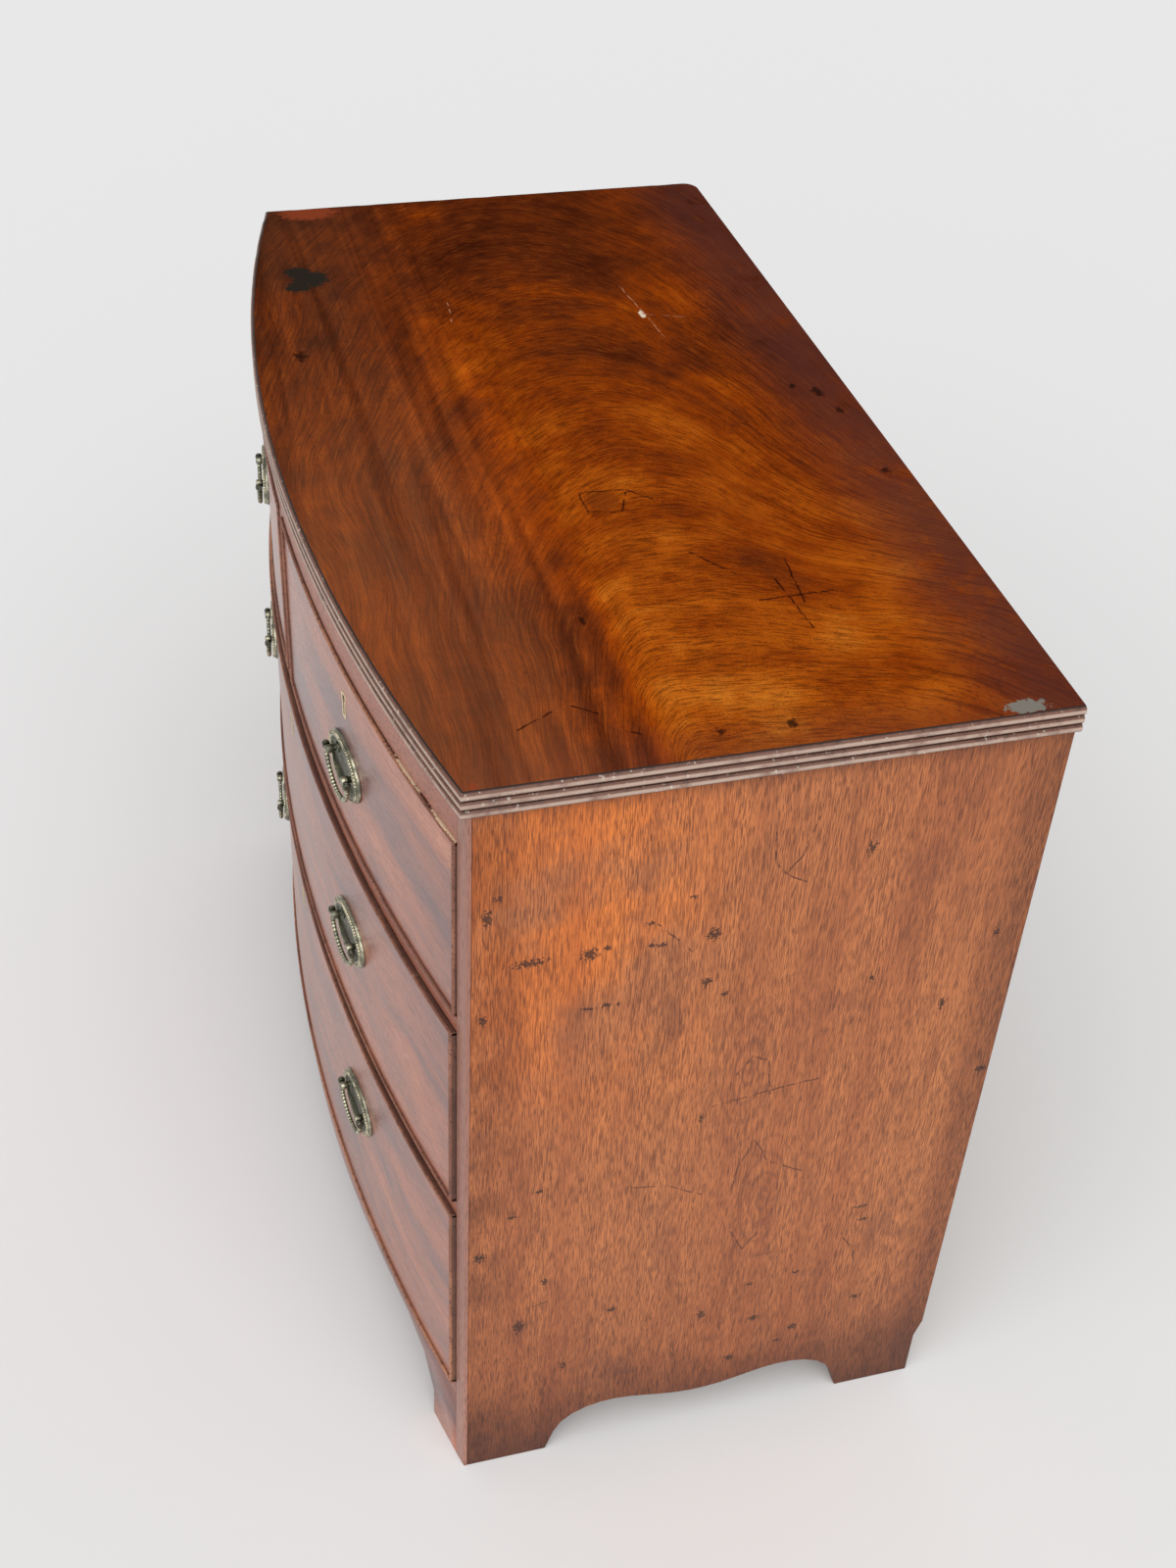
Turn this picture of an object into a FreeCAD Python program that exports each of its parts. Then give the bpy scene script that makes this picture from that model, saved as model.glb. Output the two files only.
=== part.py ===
import FreeCAD, Part
import math
import os

Vec = FreeCAD.Vector

# Overall sizes, in millimetres. X is the width, the front faces -Y, Z is up from the floor
overall_height = 850.0
top_width = 960.0
top_corner_depth = 468.0
top_bow = 62.0
top_thickness = 24.0
reed_count = 3
reed_chamfer_share = 0.3
side_overhang = 7.5
front_overhang = 7.0

# Carcase
carcase_bow = 63.0
side_thickness = 16.0
lipping_thickness = 3.0
rail_thickness = 15.0
rail_depth_at_side = 62.0
bottom_rail_thickness = 18.0
top_rail_height = 38.0
top_rail_thickness = 22.0
divider_width = 16.0
divider_tenon_depth = 10.0
divider_tenon_setback = 6.0
top_rail_tenon_thickness = 6.0
housing_depth = 6.0
housing_setback = 12.0
back_thickness = 10.0
back_board_count = 4
back_board_gap = 0.6
back_rebate_width = 8.0
back_low = 82.0
bottom_board_thickness = 13.0
runner_width = 28.0
centre_runner_width = 64.0
guide_height = 22.0
kicker_width = 24.0
dust_board_thickness = 8.0
dust_board_groove = 5.0
stop_length = 45.0
stop_depth = 16.0
stop_height = 4.0
stop_place_shares = (0.25, 0.75)

# Drawer openings, as shares of the height left between the rails. The upper row takes the rest
lower_opening_share = 0.39
middle_opening_share = 0.3276

# Bracket feet and aprons
apron_height = 99.0
front_foot_width = 64.0
front_foot_straight_share = 0.44
front_arch_share = 0.88
apron_thickness = 20.0
side_foot_length = 80.0
rear_foot_length = 83.0
side_foot_straight_share = 0.43
side_arch_height = 60.0
skirting_notch_depth = 6.0
skirting_notch_height = 58.0
skirting_notch_slope = 22.0
foot_block_width = 30.0
foot_block_lift = 4.0
rear_bracket_length = 78.0
rear_bracket_thickness = 14.0
rear_bracket_tip = 34.0

# Drawers
drawer_front_thickness = 22.0
drawer_side_thickness = 10.0
drawer_back_thickness = 10.0
drawer_bottom_thickness = 6.0
drawer_bottom_lift = 9.0
drawer_groove = 5.0
drawer_side_drop = 8.0
drawer_back_drop = 12.0
drawer_back_room = 18.0
long_drawer_forward = 2.5
bead_thickness = 3.6
bead_proud = 2.5
bead_rebate = 8.0
tail_length = 8.0
tail_slope_share = 0.17
tail_width_share = 0.7
tail_pitch = 80.0
least_tails = 2

# Fits
side_play = 1.0
top_play = 2.0
runner_play = 0.3
glue_gap = 0.1
seat_gap = 0.3
overrun = 1.0

# Locks and keyholes
lock_width = 62.0
lock_height = 44.0
lock_plate = 2.0
lock_body_width = 46.0
lock_body_height = 34.0
lock_body_depth = 9.0
key_drop = 35.0
keyhole_radius = 3.4
keyhole_slot_width = 3.0
keyhole_slot_length = 17.0
keyhole_facets = 8
escutcheon_wall = 2.6
escutcheon_depth = 4.0
escutcheon_proud = 0.3

# Handles
handle_place_share = 0.51
upper_handle_share = 0.425
middle_handle_share = 0.538
lower_handle_share = 0.604
plate_width = 78.0
plate_height = 53.0
plate_rim = 4.8
plate_floor = 1.2
plate_rim_share = 0.86
plate_dish_share = 0.74
plate_facets = 20
plate_drop = 3.0
post_spacing = 43.6
post_flange_radius = 5.0
post_flange_height = 1.6
post_neck_radius = 3.0
post_head_radius = 4.6
post_head_half = 4.0
post_facets = 6
post_shank = 4.0
post_shank_depth = 16.0
post_shank_play = 0.2
bail_standoff = 9.0
bail_width = 63.0
bail_drop = 31.0
bail_bar = 4.6
bail_chamfer = 0.7
bail_facets = 10
bail_pin_radius = 1.6
bail_pin_facets = 8
bail_pin_play = 0.25
bail_ear_rise = 2.4

# Outlines of the foot arches, as shares of half the arch's width and of its height
front_arch_shares = ((0.02, 0.66), (0.068, 0.9), (0.125, 0.985), (0.18, 1.0), (0.55, 0.87), (1.0, 0.78))
side_arch_shares = ((0.16, 0.81), (0.4, 1.0), (0.72, 0.87), (1.0, 0.77))
side_arch_lean_share = 0.05
arch_facets = 22

# Places worked out from the sizes above
overall_depth = top_corner_depth + top_bow
y_back = overall_depth / 2
y_top_front = y_back - top_corner_depth
y_front = y_top_front + front_overhang
carcase_height = overall_height - top_thickness
half_width = top_width / 2 - side_overhang
inner_half = half_width - side_thickness
y_back_inner = y_back - back_thickness
y_rail_back = y_front + rail_depth_at_side
bottom_rail_z = apron_height
front_arch_height = apron_height * front_arch_share
lowest_opening_z = bottom_rail_z + bottom_rail_thickness
top_rail_z = carcase_height - top_rail_height
opening_room = top_rail_z - lowest_opening_z - 2 * rail_thickness
lower_opening_height = opening_room * lower_opening_share
middle_opening_height = opening_room * middle_opening_share
lower_rail_z = lowest_opening_z + lower_opening_height
middle_opening_z = lower_rail_z + rail_thickness
upper_rail_z = middle_opening_z + middle_opening_height
upper_opening_z = upper_rail_z + rail_thickness
upper_opening_height = top_rail_z - upper_opening_z
handle_x = inner_half * handle_place_share
y_drawer_back = y_back_inner - drawer_back_room


def arc_radius(half_chord, rise):
    return (half_chord ** 2 + rise ** 2) / (2 * rise)


top_radius = arc_radius(top_width / 2, top_bow)
top_centre_y = y_top_front - top_bow + top_radius
carcase_radius = arc_radius(half_width, carcase_bow)
carcase_centre_y = y_front - carcase_bow + carcase_radius


def bow_y(x, radius, centre_y=carcase_centre_y):
    return centre_y - math.sqrt(radius ** 2 - x ** 2)


def bow_edge(x_from, x_to, radius, z, centre_y=carcase_centre_y):
    spots = [Vec(x, bow_y(x, radius, centre_y), z) for x in (x_from, (x_from + x_to) / 2, x_to)]
    return Part.Arc(*spots).toShape()


def raise_wire(edges, height):
    return Part.Face(Part.Wire(edges)).extrude(Vec(0, 0, height))


def bow_slab(x_low, x_high, radius, y_far, z_low, z_high, centre_y=carcase_centre_y):
    front = bow_edge(x_low, x_high, radius, z_low, centre_y)
    start = Vec(x_low, bow_y(x_low, radius, centre_y), z_low)
    end = Vec(x_high, bow_y(x_high, radius, centre_y), z_low)
    rest = Part.makePolygon([end, Vec(x_high, y_far, z_low), Vec(x_low, y_far, z_low), start])
    return raise_wire([front] + rest.Edges, z_high - z_low)


def bow_strip(x_low, x_high, outer_radius, inner_radius, z_low, z_high):
    front = bow_edge(x_low, x_high, outer_radius, z_low)
    back = bow_edge(x_high, x_low, inner_radius, z_low)
    ends = [
        Part.makeLine(front.valueAt(front.LastParameter), back.valueAt(back.FirstParameter)),
        Part.makeLine(back.valueAt(back.LastParameter), front.valueAt(front.FirstParameter)),
    ]
    return raise_wire([front, ends[0], back, ends[1]], z_high - z_low)


def block(x_low, x_high, y_low, y_high, z_low, z_high):
    return Part.makeBox(x_high - x_low, y_high - y_low, z_high - z_low, Vec(x_low, y_low, z_low))


def mirrored(solid):
    return solid.mirror(Vec(0, 0, 0), Vec(1, 0, 0))


def faceted(loops):
    faces = [flat(loops[0]), flat(loops[-1])]
    for near, far in zip(loops, loops[1:]):
        for index in range(len(near)):
            following = (index + 1) % len(near)
            faces.append(flat([near[index], near[following], far[following], far[index]]))
    solid = Part.makeSolid(Part.makeShell(faces))
    return solid.reversed() if solid.Volume < 0 else solid


def flat(spots):
    return Part.Face(Part.makePolygon(spots + [spots[0]]))


def joined(first, others):
    return first.fuse(others).removeSplitter()


def save(node, *solids):
    shape = solids[0] if len(solids) == 1 else Part.makeCompound(list(solids))
    shape.exportStep("parts/" + node + ".step")


os.makedirs("parts", exist_ok=True)


# Top board: stacked reeds along the front and both ends, a plain edge at the back
def reeded_top():
    reed = top_thickness / reed_count
    layers = []
    for index in range(reed_count):
        low = carcase_height + index * reed
        layer = bow_slab(-top_width / 2, top_width / 2, top_radius, y_back, low, low + reed, top_centre_y)
        eased = [edge for edge in layer.Edges if is_reed_edge(edge)]
        layers.append(layer.makeChamfer(reed * reed_chamfer_share, eased))
    return joined(layers[0], layers[1:])


def is_reed_edge(edge):
    level = edge.BoundBox.ZLength < glue_gap
    return level and edge.BoundBox.YMin < y_back - glue_gap


save("top_board", reeded_top())


# Foot arches: the space cut away between two bracket feet, drawn in the plane of the board
def arch_outline(start, width, height, straight, lean, shares, place):
    half = width / 2
    rise = [(lean, straight)] + [(across * half, up * height) for across, up in shares]
    fall = [(width - across, up) for across, up in reversed(rise[:-1])]
    crown = Part.BSplineCurve()
    crown.interpolate([place(start + across, up) for across, up in rise + fall])
    feet = [place(start + width, -overrun), place(start, -overrun)]
    lead = [place(start + width, 0), feet[0], feet[1], place(start, 0)]
    return flat(crown.discretize(Number=arch_facets) + lead)


def side_arch():
    start = y_front + side_foot_length
    width = y_back - rear_foot_length - start
    straight = side_arch_height * side_foot_straight_share
    outline = arch_outline(
        start, width, side_arch_height, straight, side_arch_lean_share * width / 2, side_arch_shares,
        lambda along, up: Vec(inner_half - overrun, along, up),
    )
    return outline.extrude(Vec(side_thickness + 2 * overrun, 0, 0))


def front_arch():
    half = half_width - front_foot_width
    y_near = y_front - carcase_bow - overrun
    depth = carcase_bow + apron_thickness + 2 * overrun
    straight = front_arch_height * front_foot_straight_share
    outline = arch_outline(
        -half, 2 * half, front_arch_height, straight, 0, front_arch_shares,
        lambda across, up: Vec(across, y_near, up),
    )
    return outline.extrude(Vec(0, depth, 0))


# Rails: bowed in front, straight behind, with a tenon housed in each side
def housing(z_low, z_high, y_low, y_high):
    return block(inner_half - overrun, inner_half + housing_depth, y_low, y_high, z_low, z_high)


def rail(z_low, thickness):
    slab = bow_slab(-inner_half, inner_half, carcase_radius, y_rail_back, z_low, z_low + thickness)
    tenon = housing(z_low, z_low + thickness, y_front + housing_setback, y_rail_back)
    return joined(slab, [tenon, mirrored(tenon)])


# Sides, with the housings, the rebate for the back, the foot arch and a notch for a skirting board
def side_panel():
    board = bow_slab(
        inner_half, half_width, carcase_radius - lipping_thickness - glue_gap, y_back, 0, carcase_height
    )
    cuts = [side_arch()]
    for z_low, thickness in (
        (bottom_rail_z, bottom_rail_thickness),
        (lower_rail_z, rail_thickness),
        (upper_rail_z, rail_thickness),
    ):
        cuts.append(housing(z_low, z_low + thickness, y_front + housing_setback, y_rail_back))
    cuts.append(housing(top_rail_z, carcase_height, *top_rail_tenon_y()))
    cuts.append(housing(bottom_board_z(), lowest_opening_z, y_rail_back, y_back_inner))
    cuts.append(block(
        inner_half - overrun, inner_half + back_rebate_width,
        y_back_inner, y_back + overrun, back_low, carcase_height + overrun,
    ))
    notch = Part.makePolygon([
        Vec(inner_half - overrun, y_back + overrun, -overrun),
        Vec(inner_half - overrun, y_back - skirting_notch_depth, -overrun),
        Vec(inner_half - overrun, y_back - skirting_notch_depth, skirting_notch_height),
        Vec(inner_half - overrun, y_back, skirting_notch_height + skirting_notch_slope),
        Vec(inner_half - overrun, y_back + overrun, skirting_notch_height + skirting_notch_slope),
        Vec(inner_half - overrun, y_back + overrun, -overrun),
    ])
    cuts.append(Part.Face(notch).extrude(Vec(side_thickness + 2 * overrun, 0, 0)))
    return board.cut(cuts)


def top_rail_tenon_y():
    y_low = y_front + housing_setback
    return y_low, y_low + top_rail_tenon_thickness


def bottom_board_z():
    return lowest_opening_z - bottom_board_thickness


right_side = side_panel()
save("side_panel_right", right_side)
save("side_panel_left", mirrored(right_side))

right_lipping = bow_strip(
    inner_half, half_width, carcase_radius, carcase_radius - lipping_thickness, 0, carcase_height
)
save("front_lippings", right_lipping, mirrored(right_lipping))


# Dust boards sit in grooves of the rails and runners
def dust_board(x_low, x_high, rail_z):
    z_low = rail_z + (rail_thickness - dust_board_thickness) / 2
    return block(
        x_low - dust_board_groove, x_high + dust_board_groove,
        y_rail_back - dust_board_groove, y_back_inner, z_low, z_low + dust_board_thickness,
    )


lower_dust_board = dust_board(-(inner_half - runner_width), inner_half - runner_width, lower_rail_z)
right_dust_board = dust_board(centre_runner_width / 2, inner_half - runner_width, upper_rail_z)
dust_boards = [lower_dust_board, right_dust_board, mirrored(right_dust_board)]
save("dust_boards", *dust_boards)


# Centre divider, tenoned into the rails above and below
def divider():
    post = bow_slab(
        -divider_width / 2, divider_width / 2, carcase_radius, y_rail_back, upper_opening_z, top_rail_z
    )
    return joined(post, divider_tenons())


def divider_tenons():
    y_low = y_front - carcase_bow + divider_tenon_setback
    spans = (
        (upper_opening_z - housing_depth, upper_opening_z + overrun),
        (top_rail_z - overrun, top_rail_z + housing_depth),
    )
    return [
        block(-divider_width / 2, divider_width / 2, y_low, y_low + divider_tenon_depth, low, high)
        for low, high in spans
    ]


save("centre_divider", divider())
save("upper_drawer_rail", rail(upper_rail_z, rail_thickness).cut(dust_boards + divider_tenons()))
save("lower_drawer_rail", rail(lower_rail_z, rail_thickness).cut(dust_boards))


# Top rail: a bowed board on edge
def top_rail():
    board = bow_strip(
        -inner_half, inner_half, carcase_radius, carcase_radius - top_rail_thickness,
        top_rail_z, carcase_height,
    )
    tenon = housing(top_rail_z, carcase_height, *top_rail_tenon_y())
    return joined(board, [tenon, mirrored(tenon)]).cut(divider_tenons())


save("top_rail", top_rail())


# Apron: a bowed board on edge under the bottom rail, cut into the two front feet
def apron():
    board = bow_strip(
        -inner_half, inner_half, carcase_radius, carcase_radius - apron_thickness, 0, bottom_rail_z
    )
    return board.cut(front_arch())


save("front_apron", apron())
save("bottom_rail", rail(bottom_rail_z, bottom_rail_thickness))

bottom_board = block(
    -inner_half - housing_depth, inner_half + housing_depth,
    y_rail_back, y_back_inner, bottom_board_z(), lowest_opening_z,
)
save("bottom_board", bottom_board)


# Runners, guide and kickers
def runner(x_low, x_high, rail_z):
    strip = block(x_low, x_high, y_rail_back, y_back_inner, rail_z, rail_z + rail_thickness)
    return strip.cut(dust_boards)


def kicker(x_low, x_high):
    front = carcase_radius - top_rail_thickness - glue_gap
    return bow_slab(x_low, x_high, front, y_back_inner, top_rail_z, carcase_height)


def runners():
    strips = []
    for rail_z in (lower_rail_z, upper_rail_z):
        strip = runner(inner_half - runner_width, inner_half, rail_z)
        strips += [strip, mirrored(strip)]
    strips.append(runner(-centre_runner_width / 2, centre_runner_width / 2, upper_rail_z))
    strips.append(block(
        -divider_width / 2, divider_width / 2,
        y_rail_back, y_back_inner, upper_opening_z, upper_opening_z + guide_height,
    ))
    side_kicker = kicker(inner_half - kicker_width, inner_half)
    strips += [side_kicker, mirrored(side_kicker), kicker(-divider_width / 2, divider_width / 2)]
    return strips


save("runners_and_guides", *runners())


# Back: upright boards in the rebates
def back_boards():
    half = inner_half + back_rebate_width
    board_width = (2 * half - (back_board_count - 1) * back_board_gap) / back_board_count
    boards = []
    for index in range(back_board_count):
        x_low = -half + index * (board_width + back_board_gap)
        boards.append(block(x_low, x_low + board_width, y_back_inner, y_back, back_low, carcase_height))
    return boards


save("back_boards", *back_boards())


# Feet: glue blocks in the corners, and a plain bracket behind each rear foot
def foot_blocks():
    x_low = inner_half - foot_block_width
    near = carcase_radius - apron_thickness - glue_gap
    y_far = bow_y(inner_half, near) + foot_block_width
    y_rear = y_back - skirting_notch_depth - rear_bracket_thickness
    front = bow_slab(x_low, inner_half, near, y_far, foot_block_lift, bottom_rail_z)
    rear = block(x_low, inner_half, y_rear - foot_block_width, y_rear, foot_block_lift, bottom_board_z())
    return [front, mirrored(front), rear, mirrored(rear)]


def rear_bracket():
    y_high = y_back - skirting_notch_depth
    y_low = y_high - rear_bracket_thickness
    outline = Part.makePolygon([
        Vec(inner_half, y_low, 0),
        Vec(inner_half, y_low, back_low),
        Vec(inner_half - rear_bracket_length, y_low, back_low),
        Vec(inner_half - rear_bracket_tip, y_low, 0),
        Vec(inner_half, y_low, 0),
    ])
    return Part.Face(outline).extrude(Vec(0, rear_bracket_thickness, 0))


save("foot_blocks", *foot_blocks())
save("rear_foot_brackets", rear_bracket(), mirrored(rear_bracket()))


# Drawers: the places of each one's pieces, worked out from its opening
class Drawer:
    def __init__(self, name, x_low, x_high, opening_z, opening_height, forward, handle_share, handle_xs):
        self.name = name
        self.x_low = x_low + side_play
        self.x_high = x_high - side_play
        self.z_low = opening_z + runner_play
        self.z_high = opening_z + opening_height - top_play
        self.face = carcase_radius + forward
        self.inner = self.face - drawer_front_thickness
        self.nose = self.face + bead_proud
        self.rebate = self.face - bead_rebate
        self.side_top = self.z_high - bead_thickness - drawer_side_drop
        self.floor_z = self.z_low + drawer_bottom_lift
        self.floor_top = self.floor_z + drawer_bottom_thickness
        self.back_top = self.side_top - drawer_back_drop
        self.middle_x = (x_low + x_high) / 2
        self.handle_z = opening_z + handle_share * opening_height + plate_drop
        self.handle_xs = handle_xs
        self.key_z = opening_z + opening_height - key_drop


def tails(y_end, y_root, z_low, z_high, x_low, x_high, play):
    count = max(least_tails, round((z_high - z_low) / tail_pitch))
    pitch = (z_high - z_low) / count
    slope = abs(y_end - y_root) * tail_slope_share
    ahead = math.copysign(play, y_end - y_root)
    cutters = []
    for index in range(count):
        middle = z_low + (index + 1 / 2) * pitch
        wide = pitch * tail_width_share / 2 + play
        narrow = wide - slope
        outline = Part.makePolygon([
            Vec(x_low, y_end + ahead, middle - wide),
            Vec(x_low, y_end + ahead, middle + wide),
            Vec(x_low, y_root, middle + narrow),
            Vec(x_low, y_root, middle - narrow),
            Vec(x_low, y_end + ahead, middle - wide),
        ])
        cutters.append(Part.Face(outline).extrude(Vec(x_high - x_low, 0, 0)))
    return cutters


def front_tails(drawer, x_low, x_high, play):
    widest = max(abs(x_low), abs(x_high))
    narrowest = min(abs(x_low), abs(x_high))
    y_end = bow_y(narrowest, drawer.inner) - tail_length
    y_root = bow_y(widest, drawer.inner) + tail_length
    return tails(y_end, y_root, drawer.floor_top, drawer.side_top, x_low, x_high, play)


def back_tails(drawer, x_low, x_high, play):
    y_root = y_drawer_back - drawer_back_thickness - tail_length
    return tails(y_drawer_back, y_root, drawer.floor_top, drawer.back_top, x_low, x_high, play)


def side_spans(drawer):
    return (
        (drawer.x_low, drawer.x_low + drawer_side_thickness),
        (drawer.x_high - drawer_side_thickness, drawer.x_high),
    )


def socket_spans(drawer):
    left, right = side_spans(drawer)
    return (left[0] - overrun, left[1]), (right[0], right[1] + overrun)


def bottom_panel(drawer, play):
    inset = drawer_side_thickness - drawer_groove
    return bow_slab(
        drawer.x_low + inset - play, drawer.x_high - inset + play, drawer.inner + drawer_groove + play,
        y_drawer_back + play, drawer.floor_z - play, drawer.floor_top + play,
    )


def drawer_side(drawer, x_low, x_high):
    blank = block(x_low, x_high, y_front - carcase_bow, y_drawer_back, drawer.z_low, drawer.side_top)
    front_room = bow_strip(
        drawer.x_low - overrun, drawer.x_high + overrun, drawer.nose + carcase_bow,
        drawer.inner - glue_gap, drawer.z_low - overrun, drawer.z_high,
    )
    back_room = block(
        x_low - overrun, x_high + overrun, y_drawer_back - drawer_back_thickness - glue_gap,
        y_drawer_back + overrun, drawer.floor_top - glue_gap, drawer.side_top + overrun,
    )
    groove = bottom_panel(drawer, glue_gap)
    board = blank.cut([front_room, back_room])
    ends = front_tails(drawer, x_low, x_high, 0) + back_tails(drawer, x_low, x_high, 0)
    return joined(board, ends).cut(groove)


def drawer_back(drawer):
    board = block(
        drawer.x_low, drawer.x_high, y_drawer_back - drawer_back_thickness, y_drawer_back,
        drawer.floor_top + glue_gap, drawer.back_top,
    )
    cutters = []
    for span in socket_spans(drawer):
        cutters += back_tails(drawer, *span, glue_gap)
    return board.cut(cutters)


# A local frame on the bowed face: across, outwards and up
def on_face(solid, drawer, x, z):
    angle = math.asin(x / drawer.face)
    placed = solid.copy()
    placed.rotate(Vec(0, 0, 0), Vec(0, 0, 1), math.degrees(angle))
    placed.translate(Vec(x, bow_y(x, drawer.face), z))
    return placed


def keyhole(radius, slot_width, slot_length, y_low, y_high):
    lean = math.asin(slot_width / 2 / radius)
    turn = 2 * (math.pi - lean) / keyhole_facets
    spots = []
    for index in range(keyhole_facets + 1):
        angle = lean + index * turn - math.pi / 2
        spots.append(Vec(radius * math.cos(angle), y_low, radius * math.sin(angle)))
    spots += [Vec(side * slot_width / 2, y_low, -slot_length) for side in (-1, 1)]
    return flat(spots).extrude(Vec(0, y_high - y_low, 0))


def escutcheon():
    outer = keyhole(
        keyhole_radius + escutcheon_wall, keyhole_slot_width + 2 * escutcheon_wall,
        keyhole_slot_length + escutcheon_wall, -escutcheon_proud, escutcheon_depth,
    )
    return outer.cut(key_passage())


def key_passage():
    return keyhole(
        keyhole_radius, keyhole_slot_width, keyhole_slot_length,
        -escutcheon_proud - overrun, drawer_front_thickness - lock_plate,
    )


def escutcheon_seat():
    wall = escutcheon_wall + glue_gap
    return keyhole(
        keyhole_radius + wall, keyhole_slot_width + 2 * wall, keyhole_slot_length + wall,
        -escutcheon_proud - overrun, escutcheon_depth + glue_gap,
    )


def lock(play, back):
    y_plate = drawer_front_thickness - lock_plate
    plate = block(
        -lock_width / 2 - play, lock_width / 2 + play, y_plate - play, y_plate + lock_plate + back,
        -lock_height / 2 - play, lock_height / 2 + play,
    )
    body = block(
        -lock_body_width / 2 - play, lock_body_width / 2 + play,
        y_plate - lock_body_depth - play, y_plate,
        -lock_body_height / 2 - play, lock_body_height / 2 + play,
    )
    return joined(plate, [body])


# Handle parts in the local frame of the face, outwards along -Y
def oval(share, y):
    spots = []
    for index in range(plate_facets):
        angle = 2 * math.pi * index / plate_facets
        across, up = math.cos(angle) * share / 2, math.sin(angle) * share / 2
        spots.append(Vec(plate_width * across, y, plate_height * up - plate_drop))
    return spots


def handle_plate():
    body = faceted([
        oval(1, 0),
        oval(1, -plate_rim),
        oval(plate_rim_share, -plate_rim),
        oval(plate_dish_share, -plate_floor),
    ])
    return body.cut([post_hole(x) for x in post_places()])


def post_places():
    return (-post_spacing / 2, post_spacing / 2)


def post_hole(x):
    half = post_shank / 2 + post_shank_play
    y_end = post_shank_depth + post_shank_play
    return block(x - half, x + half, -plate_rim - overrun, y_end, -half, half)


def post_ring(radius, y):
    turns = [math.pi * (2 * index + 1) / post_facets for index in range(post_facets)]
    return [Vec(radius * math.cos(turn), y, radius * math.sin(turn)) for turn in turns]


def handle_post(x):
    y_flange = -plate_floor - post_flange_height
    stem = faceted([
        post_ring(post_flange_radius, -plate_floor),
        post_ring(post_neck_radius, y_flange),
        post_ring(post_neck_radius, post_head_half - bail_standoff),
        post_ring(post_head_radius, post_head_half / 2 - bail_standoff),
        post_ring(post_head_radius, -post_head_half / 2 - bail_standoff),
        post_ring(post_neck_radius, -post_head_half - bail_standoff),
    ])
    half = post_shank / 2
    shank = block(-half, half, -plate_floor - overrun, post_shank_depth, -half, half)
    reach = post_head_radius + overrun
    eye_radius = (bail_pin_radius + bail_pin_play) / math.cos(math.pi / bail_pin_facets)
    post = joined(stem, [shank]).cut(pivot(eye_radius, -reach, reach))
    post.translate(Vec(x, 0, 0))
    return post


def pivot(radius, x_low, x_high):
    turns = [math.pi * (2 * index + 1) / bail_pin_facets for index in range(bail_pin_facets)]
    ring = [(radius * math.cos(turn), radius * math.sin(turn)) for turn in turns]
    return flat([Vec(x_low, out - bail_standoff, up) for out, up in ring]).extrude(Vec(x_high - x_low, 0, 0))


def bail_path():
    across, down = (bail_width - bail_bar) / 2, bail_drop - bail_bar / 2 - bail_ear_rise
    curve = []
    for index in range(bail_facets + 1):
        turn = math.pi * index / bail_facets
        z = -bail_ear_rise - down * math.sin(turn)
        curve.append(Vec(across * math.cos(turn), -bail_standoff, z))
    ears = [Vec(side * across, -bail_standoff, bail_ear_rise) for side in (1, -1)]
    return ears[:1] + curve + ears[1:]


def path_normals(path):
    steps = [(after - before).normalize() for before, after in zip(path, path[1:])]
    sides = [Vec(-step.z, 0, step.x) for step in steps]
    corners = []
    for before, after in zip(sides[:1] + sides, sides + sides[-1:]):
        corners.append((before + after) * (1 / (1 + before.dot(after))))
    return corners


def bail():
    half = bail_bar / 2
    ease = half - bail_chamfer
    section = (
        (half, -ease), (half, ease), (ease, half), (-ease, half),
        (-half, ease), (-half, -ease), (-ease, -half), (ease, -half),
    )
    path = bail_path()
    loops = [
        [spot + side * out + Vec(0, along, 0) for out, along in section]
        for spot, side in zip(path, path_normals(path))
    ]
    x_tip = (post_spacing - post_head_radius) / 2
    pin = pivot(bail_pin_radius, x_tip, bail_width / 2 - half)
    return joined(faceted(loops), [pin, mirrored(pin)])


def drawer_front(drawer):
    front = bow_strip(
        drawer.x_low, drawer.x_high, drawer.face, drawer.inner,
        drawer.z_low, drawer.z_high - bead_thickness,
    )
    cuts = [bead_room(drawer, *span) for span in bead_spans(drawer)[1:]]
    cuts.append(bottom_panel(drawer, glue_gap))
    for span in socket_spans(drawer):
        cuts += front_tails(drawer, *span, glue_gap)
    cuts.append(on_face(lock(glue_gap, carcase_bow), drawer, drawer.middle_x, drawer.key_z))
    cuts.append(on_face(escutcheon_seat(), drawer, drawer.middle_x, drawer.key_z))
    cuts.append(on_face(key_passage(), drawer, drawer.middle_x, drawer.key_z))
    for handle in drawer.handle_xs:
        cuts += [on_face(post_hole(x), drawer, handle, drawer.handle_z) for x in post_places()]
    return front.cut(cuts)


# Cock beading: the top strip covers the whole edge, the others sit in a rebate
def bead_spans(drawer):
    low, high = drawer.z_low + bead_thickness, drawer.z_high - bead_thickness
    return (
        (drawer.x_low, drawer.x_high, high, drawer.z_high),
        (drawer.x_low, drawer.x_high, drawer.z_low, low),
        (drawer.x_low, drawer.x_low + bead_thickness, low, high),
        (drawer.x_high - bead_thickness, drawer.x_high, low, high),
    )


def bead_room(drawer, x_low, x_high, z_low, z_high):
    return bow_strip(x_low, x_high, drawer.nose, drawer.rebate - glue_gap, z_low, z_high)


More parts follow.
